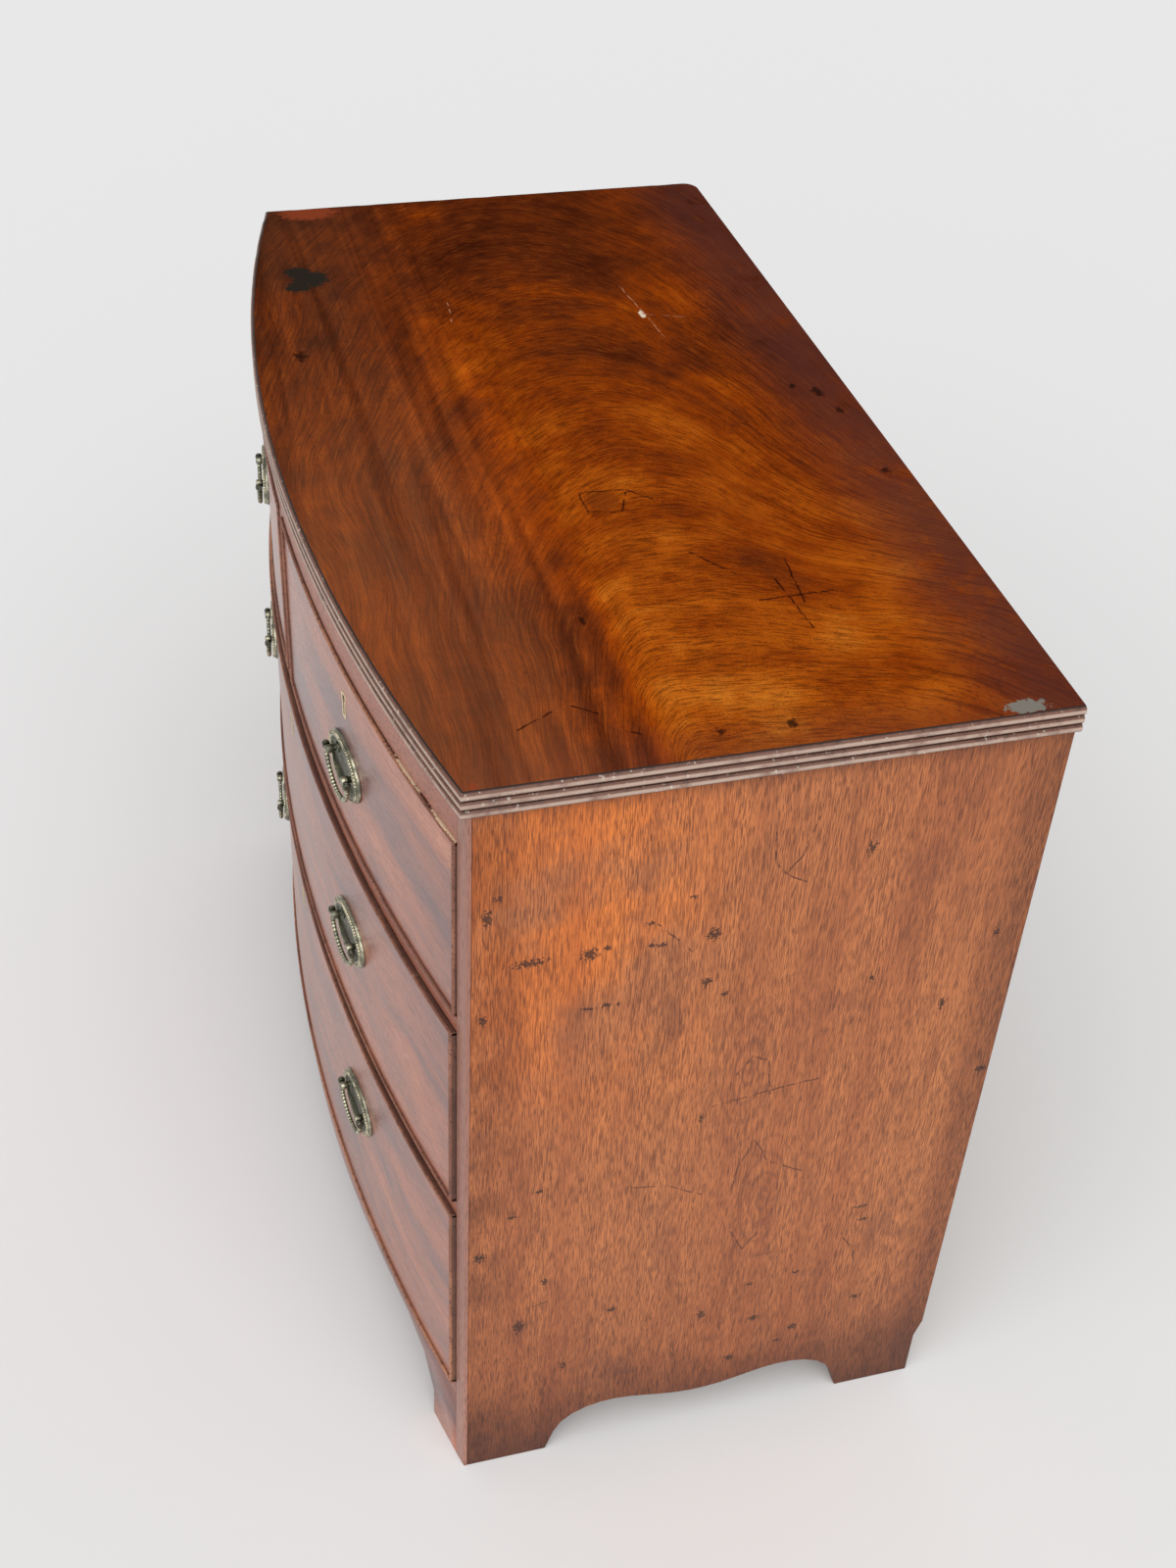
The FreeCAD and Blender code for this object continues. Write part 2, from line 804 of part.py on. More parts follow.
def beading(drawer):
    strips = []
    for index, (x_low, x_high, z_low, z_high) in enumerate(bead_spans(drawer)):
        depth = drawer.inner if index == 0 else drawer.rebate
        strip = bow_strip(x_low, x_high, drawer.nose, depth, z_low, z_high)
        level = x_high - x_low > z_high - z_low
        nose = [edge for edge in strip.Edges if on_nose(edge, drawer, level)]
        strips.append(strip.makeChamfer(bead_thickness * reed_chamfer_share, nose))
    return strips


def on_nose(edge, drawer, level):
    along = edge.BoundBox.XLength if level else edge.BoundBox.ZLength
    spot = edge.valueAt((edge.FirstParameter + edge.LastParameter) / 2)
    reach = math.hypot(spot.x, spot.y - carcase_centre_y)
    return along > 2 * bead_thickness and abs(reach - drawer.nose) < glue_gap


def build_drawer(drawer):
    save(drawer.name + "_front", drawer_front(drawer))
    save(drawer.name + "_sides", *[drawer_side(drawer, *span) for span in side_spans(drawer)])
    save(drawer.name + "_back", drawer_back(drawer))
    save(drawer.name + "_bottom", bottom_panel(drawer, 0))
    save(drawer.name + "_cock_beading", *beading(drawer))
    save(drawer.name + "_lock", on_face(lock(0, 0), drawer, drawer.middle_x, drawer.key_z))
    save(drawer.name + "_escutcheon", on_face(escutcheon(), drawer, drawer.middle_x, drawer.key_z))
    plates = []
    posts = []
    for index, x in enumerate(drawer.handle_xs):
        plates.append(on_face(handle_plate(), drawer, x, drawer.handle_z))
        posts += [on_face(handle_post(place), drawer, x, drawer.handle_z) for place in post_places()]
        ending = "" if len(drawer.handle_xs) == 1 else ("_left", "_right")[index]
        save(drawer.name + "_bail" + ending, on_face(bail(), drawer, x, drawer.handle_z))
    save(drawer.name + "_handle_plates", *plates)
    save(drawer.name + "_handle_posts", *posts)


def drawer_stops(drawer):
    stops = []
    for share in stop_place_shares:
        x = drawer.x_low + share * (drawer.x_high - drawer.x_low)
        x_low, x_high = x - stop_length / 2, x + stop_length / 2
        y_low = bow_y(max(abs(x_low), abs(x_high)), drawer.inner) + seat_gap
        z_low = drawer.z_low - runner_play
        stops.append(block(x_low, x_high, y_low, y_low + stop_depth, z_low, z_low + stop_height))
    return stops


short_inner_x = divider_width / 2
drawers = [
    Drawer(
        "short_drawer_left", -inner_half, -short_inner_x, upper_opening_z, upper_opening_height,
        0, upper_handle_share, (-handle_x,),
    ),
    Drawer(
        "short_drawer_right", short_inner_x, inner_half, upper_opening_z, upper_opening_height,
        0, upper_handle_share, (handle_x,),
    ),
    Drawer(
        "long_drawer_upper", -inner_half, inner_half, middle_opening_z, middle_opening_height,
        long_drawer_forward, middle_handle_share, (-handle_x, handle_x),
    ),
    Drawer(
        "long_drawer_lower", -inner_half, inner_half, lowest_opening_z, lower_opening_height,
        long_drawer_forward, lower_handle_share, (-handle_x, handle_x),
    ),
]
all_stops = []
for drawer in drawers:
    build_drawer(drawer)
    all_stops += drawer_stops(drawer)
save("drawer_stops", *all_stops)
print("built", len(os.listdir("parts")), "nodes")
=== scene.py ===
import bmesh
import bpy
import math
from mathutils import Matrix, Vector, noise


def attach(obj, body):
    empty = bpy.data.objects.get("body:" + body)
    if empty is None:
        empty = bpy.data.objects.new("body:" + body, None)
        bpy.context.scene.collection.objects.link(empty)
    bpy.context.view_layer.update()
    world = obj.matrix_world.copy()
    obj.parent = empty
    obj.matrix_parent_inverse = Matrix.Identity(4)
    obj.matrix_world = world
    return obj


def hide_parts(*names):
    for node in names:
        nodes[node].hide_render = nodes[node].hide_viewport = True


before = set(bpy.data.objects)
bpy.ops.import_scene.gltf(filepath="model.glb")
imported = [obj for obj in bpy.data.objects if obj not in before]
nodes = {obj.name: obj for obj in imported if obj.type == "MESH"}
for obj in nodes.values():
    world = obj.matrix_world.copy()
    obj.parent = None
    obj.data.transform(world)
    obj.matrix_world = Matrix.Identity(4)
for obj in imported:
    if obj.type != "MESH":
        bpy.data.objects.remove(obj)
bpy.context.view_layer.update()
print("frame loaded,", len(nodes), "CAD nodes")

# sizes of the chest in metres, the same as the solids
# a row of drawers goes by the start of their names, and gives its lowest height and how tall it is
chest = {
    "topWidth": 0.960, "topDepth": 0.468, "topBow": 0.062, "topThick": 0.024, "height": 0.850,
    "half": 0.4725, "inner": 0.4565, "bow": 0.063, "cornerFront": -0.196, "back": 0.265,
    "forward": 0.0025, "beadThick": 0.0036, "beadProud": 0.0025, "beadRebate": 0.008,
    "sidePlay": 0.001, "topPlay": 0.002, "runnerPlay": 0.0003, "divider": 0.016,
    "rows": {
        "short": (0.60698, 0.18102), "long_drawer_u": (0.38199, 0.20999), "long_drawer_l": (0.117, 0.24999),
    },
}


def arcRadius(half, rise):
    return (half ** 2 + rise ** 2) / (2 * rise)


bowRadius = arcRadius(chest["half"], chest["bow"])
bowCentre = chest["cornerFront"] - chest["bow"] + bowRadius
topRadius = arcRadius(chest["topWidth"] / 2, chest["topBow"])
topCentre = chest["back"] - chest["topDepth"] - chest["topBow"] + topRadius


def bowY(x, radius, centre=bowCentre):
    return centre - math.sqrt(radius ** 2 - x ** 2)


# places in mm on the right hand side and on the top
def onSide(y, z, x=chest["half"]):
    return (x, y / 1000, z / 1000)


def onTop(x, y, z=chest["height"]):
    return (x / 1000, y / 1000, z)


# a value that a node puts out; a sum of such values makes the math nodes for it
class Wire:
    def __init__(self, socket):
        self.socket = socket
        self.tree = socket.id_data
        self.wide = socket.type in ("VECTOR", "RGBA")

    def __add__(self, other):
        return work("ADD", self, other)

    def __sub__(self, other):
        return work("SUBTRACT", self, other)

    def __rsub__(self, other):
        return work("SUBTRACT", other, self)

    def __mul__(self, other):
        return work("MULTIPLY", self, other)

    def __truediv__(self, other):
        return work("DIVIDE", self, other)


# node tree helpers, for materials and for geometry alike
def feed(node, inputs):
    for key, value in inputs.items():
        if isinstance(value, Wire):
            node.id_data.links.new(value.socket, node.inputs[key])
        else:
            node.inputs[key].default_value = value


def put(tree, kind, inputs=None, part=0, **settings):
    node = tree.nodes.new(kind)
    for name, value in settings.items():
        setattr(node, name, value)
    feed(node, inputs or {})
    return Wire(node.outputs[part])


def treeOf(values):
    return next(value.tree for value in values if isinstance(value, Wire))


def work(operation, *values):
    wide = [value.wide if isinstance(value, Wire) else isinstance(value, tuple) for value in values]
    if not any(wide):
        return put(treeOf(values), "ShaderNodeMath", dict(enumerate(values)), operation=operation)
    spread = [(value,) * 3 if isinstance(value, (int, float)) else value for value in values]
    part = "Value" if operation in ("LENGTH", "DISTANCE", "DOT_PRODUCT") else "Vector"
    return put(treeOf(values), "ShaderNodeVectorMath", dict(enumerate(spread)), part, operation=operation)


def axes(vector):
    first = put(vector.tree, "ShaderNodeSeparateXYZ", {0: vector})
    return [Wire(socket) for socket in first.socket.node.outputs]


def combined(*values):
    return put(treeOf(values), "ShaderNodeCombineXYZ", dict(enumerate(values)))


def fade(value, low, high, start=0.0, end=1.0, way="SMOOTHSTEP"):
    inputs = {0: value, 1: low, 2: high, 3: start, 4: end}
    return put(value.tree, "ShaderNodeMapRange", inputs, interpolation_type=way)


def blendColour(amount, first, second, way="MIX"):
    inputs = {0: amount, 6: first, 7: second}
    return put(amount.tree, "ShaderNodeMix", inputs, 2, data_type="RGBA", blend_type=way)


def cloud(vector, scale, detail=4.0, rough=0.55, warp=0.0, part="Fac"):
    inputs = {"Vector": vector, "Scale": scale, "Detail": detail, "Roughness": rough, "Distortion": warp}
    return put(vector.tree, "ShaderNodeTexNoise", inputs, part)


def stretched(vector, scale, turn=(0, 0, 0)):
    return put(vector.tree, "ShaderNodeMapping", {"Vector": vector, "Rotation": turn, "Scale": scale})


def relief(height, strength, distance):
    return put(height.tree, "ShaderNodeBump", {"Height": height, "Strength": strength, "Distance": distance})


def colourSteps(value, steps):
    colour = put(value.tree, "ShaderNodeValToRGB", {0: value})
    ramp = colour.socket.node.color_ramp
    while len(ramp.elements) < len(steps):
        ramp.elements.new(0.5)
    for element, (place, paint) in zip(ramp.elements, steps):
        element.position = place
        element.color = paint
    return colour


# a colour by its screen values from 0 to 255
def tone(r, g, b):
    def straight(value):
        value = value / 255
        return value / 12.92 if value <= 0.04045 else ((value + 0.055) / 1.055) ** 2.4
    return (straight(r), straight(g), straight(b), 1.0)


def strongest(masks):
    mask = masks[0]
    for other in masks[1:]:
        mask = work("MAXIMUM", mask, other)
    return mask


# a group's inputs are given by their defaults, or by the kind of socket where they have none
def newGroup(name, kind, inputs):
    tree = bpy.data.node_groups.new(name, kind)
    kinds = {float: "NodeSocketFloat", int: "NodeSocketInt", tuple: "NodeSocketVector"}
    for label, value in inputs.items():
        socketType = kinds.get(type(value), value)
        socket = tree.interface.new_socket(label, in_out="INPUT", socket_type=socketType)
        if socketType != value:
            socket.default_value = value
    given = tree.nodes.new("NodeGroupInput").outputs
    return tree, {label: Wire(given[label]) for label in inputs}


def closeGroup(results, kind="NodeSocketFloat"):
    tree = treeOf(results.values())
    for label in results:
        tree.interface.new_socket(label, in_out="OUTPUT", socket_type=kind)
    feed(tree.nodes.new("NodeGroupOutput"), results)
    return tree


def placeGroup(group, inputs):
    first = put(inputs["Vector"].tree, "ShaderNodeGroup", inputs, node_tree=group)
    return {socket.name: Wire(socket) for socket in first.socket.node.outputs}


# shader groups that the timbers and veneers share
noPlace = (0.0, 0.0, 0.0)


def makeGrainGroup():
    given = newGroup("timberGrain", "ShaderNodeTree", {
        "Vector": noPlace, "Streak Scale": 5.0, "Fibre Scale": 60.0, "Pore Scale": 190.0, "Pore Amount": 0.4,
    })[1]
    vector = given["Vector"]
    pore = cloud(vector, given["Pore Scale"], 1.0, 0.4)
    patch = cloud(vector, given["Streak Scale"], 2.0, 0.5)
    edge = 0.71 - given["Pore Amount"] * (patch * 0.4 + 0.2)
    return closeGroup({
        "Streak": cloud(vector, given["Streak Scale"], 5.0, 0.6, 0.4),
        "Fibre": cloud(vector, given["Fibre Scale"], 3.0, 0.6), "Pores": fade(pore, edge, edge + 0.06),
    })


def makeSpotGroup():
    given = newGroup("raggedSpot", "ShaderNodeTree", {
        "Vector": noPlace, "Centre": noPlace, "Reach": (0.01, 0.01, 0.01), "Rough": 0.0, "Soft": 0.75,
    })[1]
    far = work("LENGTH", (given["Vector"] - given["Centre"]) / given["Reach"])
    return closeGroup({"Mask": fade(far + given["Rough"], 1.0, given["Soft"])})


def makeScratchGroup():
    given = newGroup("scratchLine", "ShaderNodeTree", {
        "Vector": noPlace, "From": noPlace, "To": (0.1, 0.0, 0.0), "Width": 0.0006,
    })[1]
    spot = given["Vector"] - given["From"]
    run = given["To"] - given["From"]
    share = fade(work("DOT_PRODUCT", spot, run) / work("DOT_PRODUCT", run, run), 0.0, 1.0, way="LINEAR")
    return closeGroup({"Mask": fade(work("DISTANCE", spot, run * share), given["Width"], 0.0)})


def makeWearGroup():
    tree, given = newGroup("handledWear", "ShaderNodeTree", {"Vector": noPlace, "Amount": 0.5})
    vector, amount = given["Vector"], given["Amount"]
    ways = ((14, 190, 190), (0.3, 0.5, 0.7)), ((170, 12, 170), (1.1, -0.4, 2.1))
    lines = [fade(cloud(stretched(vector, *way), 1.0, 2.0, 0.4), 0.72, 0.8) for way in ways]
    gate = fade(cloud(vector, 9.0, 3.0), 0.5, 0.66)
    spread = {"Vector": vector, "Scale": 62.0, "Randomness": 1.0}
    cells = put(tree, "ShaderNodeTexVoronoi", spread, "Distance")
    pick = put(tree, "ShaderNodeSeparateColor", {0: Wire(cells.socket.node.outputs["Color"])})
    return closeGroup({
        "Scuffs": strongest(lines) * (gate * amount), "Haze": cloud(vector, 4.0, 6.0, 0.65) * amount,
        "Dents": fade(cells, pick * 0.15, 0.0) * (fade(pick, 0.8, 0.86) * amount),
    })


grainGroup = makeGrainGroup()
spotGroup = makeSpotGroup()
scratchGroup = makeScratchGroup()
wearGroup = makeWearGroup()
print("shader groups ready")


def startMaterial(name):
    material = bpy.data.materials.new(name)
    material.use_nodes = True
    where = put(material.node_tree, "ShaderNodeTexCoord", part="Object")
    return material, material.node_tree.nodes["Principled BSDF"], where


# how much a hand has rubbed the surface, stored on the mesh; on the reeded edge and the cock beads it is how
# far a face turns outwards, for painted shade and highlight
def rubAndShadeOf(where):
    return put(where.tree, "ShaderNodeAttribute", part="Fac", attribute_name="rubAndShade")


def addSpots(where, colour, spots, paint, ragged=0.5, fine=160.0, soft=0.75, share=1.0):
    rough = (cloud(where, fine, 4.0, 0.6) - 0.5) * (4.0 * ragged)
    given = {"Vector": where, "Rough": rough, "Soft": soft}
    marks = [dict(given, Centre=centre, Reach=reach) for centre, reach in spots]
    masks = [placeGroup(spotGroup, mark)["Mask"] for mark in marks]
    return blendColour(strongest(masks) * share, colour, paint)


def addScratches(where, colour, lines, paint, width, shake=0.004):
    wobble = (cloud(where, 70.0, 3.0, 0.5, part="Color") - 0.5) * shake
    given = {"Vector": where + wobble, "Width": width}
    marks = [dict(given, From=begin, To=end) for line in lines for begin, end in zip(line, line[1:])]
    masks = [placeGroup(scratchGroup, mark)["Mask"] for mark in marks]
    broken = fade(cloud(where, 120.0, 2.0), 0.38, 0.5)
    return blendColour(strongest(masks) * broken, colour, paint)


# all the marks and scratches of one face, whose places and half widths are in mm
def markFace(where, colour, look, place):
    for mark in look["marks"]:
        spots = [(place(a, b), place(wide, tall, look["markDepth"])) for a, b, wide, tall in mark["spots"]]
        colour = addSpots(where, colour, **dict(mark, spots=spots))
    for mark in look["scratches"]:
        lines = [[place(*spot) for spot in line] for line in mark["lines"]]
        colour = addScratches(where, colour, **dict(mark, lines=lines))
    return colour


def grainOf(run, look):
    return placeGroup(grainGroup, {
        "Vector": run, "Streak Scale": look["streak"], "Fibre Scale": look["fibre"],
        "Pore Scale": look["pore"], "Pore Amount": look["poreAmount"],
    })


def wearOf(where, look):
    return placeGroup(wearGroup, {"Vector": where, "Amount": look["wear"]})


def polish(shader, colour, height, wear, look):
    feed(shader, {
        "Base Color": colour, "Roughness": wear["Haze"] * look["hazeRough"] + look["rough"],
        "Specular IOR Level": look["specular"], "Normal": relief(height, look["bump"], look["depth"]),
    })


# plain straight grained timber, used for the sides, rails, beads and inner work
plainTimber = {
    "wander": 0.02, "wanderScale": 3.0, "broadScale": 0.5, "lightShare": 0.7, "mottle": 0.25,
    "mottleScale": 34.0, "blotch": (1, 1, 1), "fibreShare": 0.35, "poreShare": 0.7, "scuffShare": 0.6,
    "hazeRough": 0.25, "depth": 0.0006,
}


def makeTimber(name, look):
    material, shader, where = startMaterial(name)
    look = {**plainTimber, **look}
    bend = (cloud(where, look["wanderScale"], 2.0) - 0.5) * look["wander"]
    run = stretched(where + bend, look["along"])
    grain = grainOf(run, look)
    wear = wearOf(where, look)
    broad = cloud(run, look["broadScale"], 4.0, 0.6)
    mottle = cloud(stretched(where, look["blotch"]), look["mottleScale"], 7.0, 0.7)
    fibres = fade(grain["Fibre"], 0.48, 0.62, 0.0, look["fibreShare"])
    dark, middle, light, hollow, scuffed = [tone(*paint) for paint in look["tones"]]
    colour = blendColour(fade(grain["Streak"], 0.32, 0.68), dark, middle)
    colour = blendColour(fade(broad, 0.4, 0.7, 0.0, look["lightShare"]), colour, light)
    colour = blendColour(fade(mottle, 0.46, 0.72, 0.0, look["mottle"]), colour, hollow)
    colour = blendColour(fibres, colour, look.get("fibreColour", dark))
    colour = blendColour(grain["Pores"] * look["poreShare"], colour, hollow)
    colour = blendColour(wear["Dents"], colour, hollow)
    colour = blendColour(wear["Scuffs"] * look["scuffShare"], colour, scuffed)
    # painted shade in the gap behind a cock bead's nose, where the stored value is low
    if "creviceShade" in look:
        colour = blendColour(fade(rubAndShadeOf(where), 0.1, 0.75), look["creviceShade"], colour)
    if "finishing" in look:
        colour = look["finishing"](where, colour)
    height = grain["Fibre"] * 0.5 - grain["Pores"] - wear["Dents"] * 2.0
    polish(shader, colour, height, wear, look)
    return material


# dirt, knocks, scratches and a painted shadow under the top on the right hand side, as (Y, Z) places on its
# face
sideWear = {
    "foot": (0.72, 0.67, 0.66, 1.0), "edge": (0.48, 0.44, 0.46, 1.0), "warm": (1.42, 1.18, 0.68, 1.0),
    "archDarkening": (0.4, 0.36, 0.38, 1.0), "knot": tone(98, 54, 44), "knots": ((72, 327), (41, 502)),
    "knotRings": 760.0, "knotTwist": 9.0, "knotLength": 0.34, "markDepth": 0.05,
    "marks": (
        {"paint": tone(98, 54, 44), "ragged": 0.9, "fine": 45.0, "soft": 0.0, "share": 0.3, "spots": (
            (-125, 795, 22, 7), (-145, 785, 7, 13), (-74, 733, 13, 9), (-36, 652, 13, 17),
            (72, 327, 20, 10), (41, 502, 9, 8), (-189, 460, 20, 42), (-190, 183, 14, 22),
            (-147, 205, 11, 22), (-30, 580, 22, 60), (100, 560, 30, 26), (-60, 120, 40, 30),
            (200, 250, 30, 50), (-20, 300, 16, 60), (170, 700, 30, 40),
        )},
        {"paint": tone(52, 28, 22), "ragged": 1.3, "fine": 400.0, "soft": 0.7, "share": 0.85, "spots": (
            (-148, 670, 14, 4), (-102, 669, 7, 7), (-88, 673, 3, 3), (-100, 610, 6, 2), (-86, 611, 4, 3),
            (-77, 610, 3, 2), (-4, 669, 6, 6), (-55, 692, 3, 2), (-23, 712, 3, 2), (-5, 618, 4, 5),
            (11, 601, 3, 3), (-53, 668, 4, 2), (-45, 667, 4, 3), (4, 454, 2, 6), (169, 288, 7, 2),
            (175, 268, 5, 2), (-147, 210, 5, 9), (-125, 270, 3, 4), (-134, 397, 5, 2), (-156, 369, 5, 2),
            (-184, 321, 5, 6), (-61, 207, 4, 3), (28, 170, 4, 6), (81, 147, 5, 4), (123, 119, 5, 4),
            (183, 148, 5, 3), (-103, 135, 3, 5), (62, 89, 5, 4), (109, 101, 5, 2), (72, 203, 4, 2),
            (117, 207, 4, 2), (-181, 723, 4, 8), (-184, 616, 3, 5), (-173, 741, 3, 3), (257, 452, 5, 4),
            (240, 620, 3, 5), (205, 545, 3, 7), (136, 590, 3, 3), (116, 735, 4, 6),
        )},
    ),
    "scratches": (
        {"paint": tone(78, 42, 32), "width": 0.0013, "lines": (
            ((36, 765), (39, 735), (48, 722), (60, 738), (69, 775)), ((48, 722), (66, 710)),
            ((12, 466), (58, 474), (105, 478)), ((-57, 380), (-20, 372), (12, 352)),
            ((40, 345), (43, 379), (56, 412), (70, 380), (105, 357)), ((45, 289), (59, 260), (75, 286)),
            ((159, 245), (172, 222), (175, 203)), ((-140, 236), (-122, 239)),
            ((30, 500), (43, 521), (58, 513), (62, 470)), ((-50, 690), (-20, 655)),
        )},
    ),
}


def knotRings(where, colour, middle):
    look = sideWear
    far = work("LENGTH", (where - middle) * (0.0, 1.0, look["knotLength"]))
    turns = far * look["knotRings"] + cloud(where, 18.0, 3.0) * look["knotTwist"]
    rings = fade(work("SINE", turns), 0.3, 1.0) * fade(far, 0.05, 0.008, 0.0, 0.34)
    return blendColour(rings, colour, look["knot"])


def sideMarks(where, colour):
    look = sideWear
    for knot in look["knots"]:
        colour = knotRings(where, colour, onSide(*knot))
    y, z = axes(where)[1:]
    drift = cloud(where, 11.0, 6.0, 0.62)
    colour = blendColour(fade(z + drift * 0.2, 0.42, 0.10), colour, look["foot"], "MULTIPLY")
    warm = fade(y, 0.06, -0.1) * fade(z, 0.4, 0.68) * fade(drift, 0.38, 0.62)
    colour = blendColour(warm, colour, look["warm"], "MULTIPLY")
    front = fade(y, -0.135, -0.19) * fade(drift, 0.42, 0.6) * 0.8
    # darker along the bottom edge, and a painted shadow of the top's overhang, with some dirt, along the top
    # edge
    ends = [fade(z, 0.05, 0.0, 0.0, 0.7), fade(z, 0.806, 0.826, 0.0, 0.6)]
    edges = strongest([front, fade(y, 0.21, 0.262, 0.0, 0.7)] + ends)
    colour = blendColour(edges, colour, look["edge"], "MULTIPLY")
    arch = fade(z + drift * 0.12, 0.2, 0.09, 0.0, 0.7)  # darker round the shaped foot
    colour = blendColour(arch, colour, look["archDarkening"], "MULTIPLY")
    return markFace(where, colour, look, onSide)


# the pale chipped arris above the right hand short drawer, as places and half widths in metres
arrisChips = {"paint": tone(222, 192, 160), "ragged": 0.55, "fine": 300.0, "spots": (
    ((0.436, -0.214, 0.7861), (0.022, 0.05, 0.0004)), ((0.372, -0.224, 0.7861), (0.026, 0.05, 0.0003)),
)}


def beadChips(where, colour):
    return addSpots(where, colour, **arrisChips)


# tones: dark, middle and light timber, its pores, and its scuffs
timberLooks = {
    "sideMahogany": {
        "along": (9, 9, 0.42), "streak": 3.2, "fibre": 104.0, "pore": 175.0, "poreAmount": 0.45,
        "wander": 0.012, "mottle": 0.36, "blotch": (1.6, 1.6, 0.32),
        "fibreShare": 0.55, "fibreColour": tone(124, 68, 44),
        "tones": ((172, 98, 58), (196, 118, 70), (212, 136, 82), (94, 50, 34), (112, 66, 48)),
        "poreShare": 0.65, "wear": 0.8, "rough": 0.36, "specular": 0.3, "bump": 0.35, "finishing": sideMarks,
    },
    "edgeMahogany": {
        "along": (0.6, 9, 9), "streak": 2.0, "fibre": 50.0, "pore": 150.0, "poreAmount": 0.34,
        "tones": ((140, 80, 62), (164, 96, 72), (180, 112, 86), (98, 56, 44), (190, 140, 112)),
        "wear": 0.5, "rough": 0.28, "specular": 0.45, "bump": 0.2,
    },
    "lippingMahogany": {
        "along": (9, 9, 0.6), "streak": 2.0, "fibre": 50.0, "pore": 150.0, "poreAmount": 0.32,
        "tones": ((146, 98, 84), (170, 118, 100), (184, 132, 114), (108, 68, 58), (176, 136, 118)),
        "wear": 0.6, "rough": 0.32, "specular": 0.45, "bump": 0.2,
    },
    "beadMahogany": {
        "along": (6, 6, 6), "streak": 3.0, "fibre": 30.0, "pore": 60.0, "poreAmount": 0.3,
        "tones": ((112, 66, 50), (150, 96, 74), (202, 136, 98), (78, 42, 32), (206, 164, 134)),
        "wear": 1.0, "creviceShade": tone(52, 30, 24), "rough": 0.4, "specular": 0.45, "bump": 0.3,
        "finishing": beadChips,
    },
    "dryOak": {
        "along": (9, 0.4, 9), "streak": 2.0, "fibre": 46.0, "pore": 140.0, "poreAmount": 0.4,
        "tones": ((146, 110, 70), (176, 138, 92), (190, 154, 110), (106, 76, 46), (130, 100, 68)),
        "wear": 0.6, "rough": 0.72, "specular": 0.25, "bump": 0.3,
    },
    "dryPine": {
        "along": (9, 9, 0.3), "streak": 1.8, "fibre": 30.0, "pore": 120.0, "poreAmount": 0.16,
        "fibreShare": 0.5,
        "tones": ((134, 94, 58), (166, 126, 82), (182, 146, 100), (98, 66, 40), (116, 86, 58)),
        "wear": 0.8, "rough": 0.78, "specular": 0.2, "bump": 0.3,
    },
}
timberLooks["oakAcross"] = dict(timberLooks["dryOak"], along=(0.4, 9, 9))
timberLooks["pineAcross"] = dict(timberLooks["dryPine"], along=(0.3, 9, 9))
timbers = {name: makeTimber(name, look) for name, look in timberLooks.items()}
print("timber materials ready")


# figured veneer of the top: grain along the length that rises in arches round a crotch
topLook = {
    "steps": (
        (0.0, tone(58, 20, 8)), (0.25, tone(98, 40, 13)), (0.5, tone(136, 56, 8)),
        (0.75, tone(168, 80, 14)), (1.0, tone(198, 112, 32)),
    ),
    "bands": ((0.32, (0.55, 0.5, 0.52, 1.0)), (0.5, (1.0, 1.0, 1.0, 1.0)), (0.68, (1.6, 1.6, 1.3, 1.0))),
    "line": tone(44, 17, 8), "thread": tone(104, 56, 12), "edge": tone(82, 42, 34), "veil": tone(130, 80, 54),
    "dimVeil": tone(76, 48, 34), "dent": tone(36, 14, 10), "scuff": tone(150, 96, 70), "wear": 0.6,
    "crotch": (0.95, 0.03), "rise": 0.287, "warp": 0.06, "warpScale": 4.4, "drag": 0.03, "closeGrain": 2.8,
    "streak": 95.0, "fibre": 740.0, "pore": 1250.0, "patch": 7.0, "mottle": 30.0, "streakShare": 0.6,
    "patchShare": 1.2, "mottleShare": 0.55, "level": 0.775, "shine": 0.22, "distant": 0.16, "shade": 0.12,
    "glow": onTop(420, 20), "glowShape": (5.0, 4.5, 0.0), "golden": 0.16,
    "bandStretch": (1.8, 48.0, 1.0), "rough": 0.24, "hazeRough": 0.3, "specular": 0.0, "bump": 0.15,
    "depth": 0.0005, "markDepth": 0.1,
    "marks": (
        {"paint": tone(42, 36, 31), "ragged": 0.4, "fine": 220.0,
         "spots": ((-314, -182, 20, 20), (-330, -192, 12, 15), (-298, -195, 12, 15))},
        {"paint": tone(34, 16, 12), "ragged": 0.7, "soft": 0.3, "share": 0.85,
         "spots": ((-5, 235, 12, 7), (30, 243, 8, 5), (137, 245, 6, 5), (-157, -215, 12, 8), (-20, 215, 6, 4),
                   (452, 45, 7, 6), (450, -8, 5, 4), (300, -70, 8, 3))},
        {"paint": tone(138, 62, 36), "ragged": 0.3, "soft": 0.5, "share": 0.8,
         "spots": ((-468, -160, 24, 38), (473, -193, 5, 4))},
        {"paint": tone(104, 44, 12), "ragged": 0.2, "soft": 0.6, "share": 0.6, "spots": ((136, -8, 19, 18),)},
        {"paint": tone(214, 198, 178), "ragged": 0.4, "spots": ((-184, 120, 9, 3.5),)},
        {"paint": tone(122, 117, 108), "ragged": 0.5, "fine": 240.0, "spots": ((469, 221, 9, 17),)},
    ),
    "scratches": (
        {"paint": tone(40, 14, 10), "width": 0.0016, "lines": (
            ((121, -25), (124, 16), (156, 3), (151, -25), (121, -25)), ((124, 16), (148, 40)),
            ((249, 112), (311, 107)), ((300, 73), (299, 134)), ((274, 94), (343, 102)),
            ((400, -105), (412, -88)), ((436, -74), (443, -62)), ((225, 40), (262, 66)),
            ((420, -150), (404, -120)),
        )},
        {"paint": tone(176, 128, 96), "width": 0.0009, "lines": (
            ((-245, 115), (-130, 128)), ((-184, 120), (-170, 160)), ((-240, -60), (-200, -64)),
        )},
    ),
}


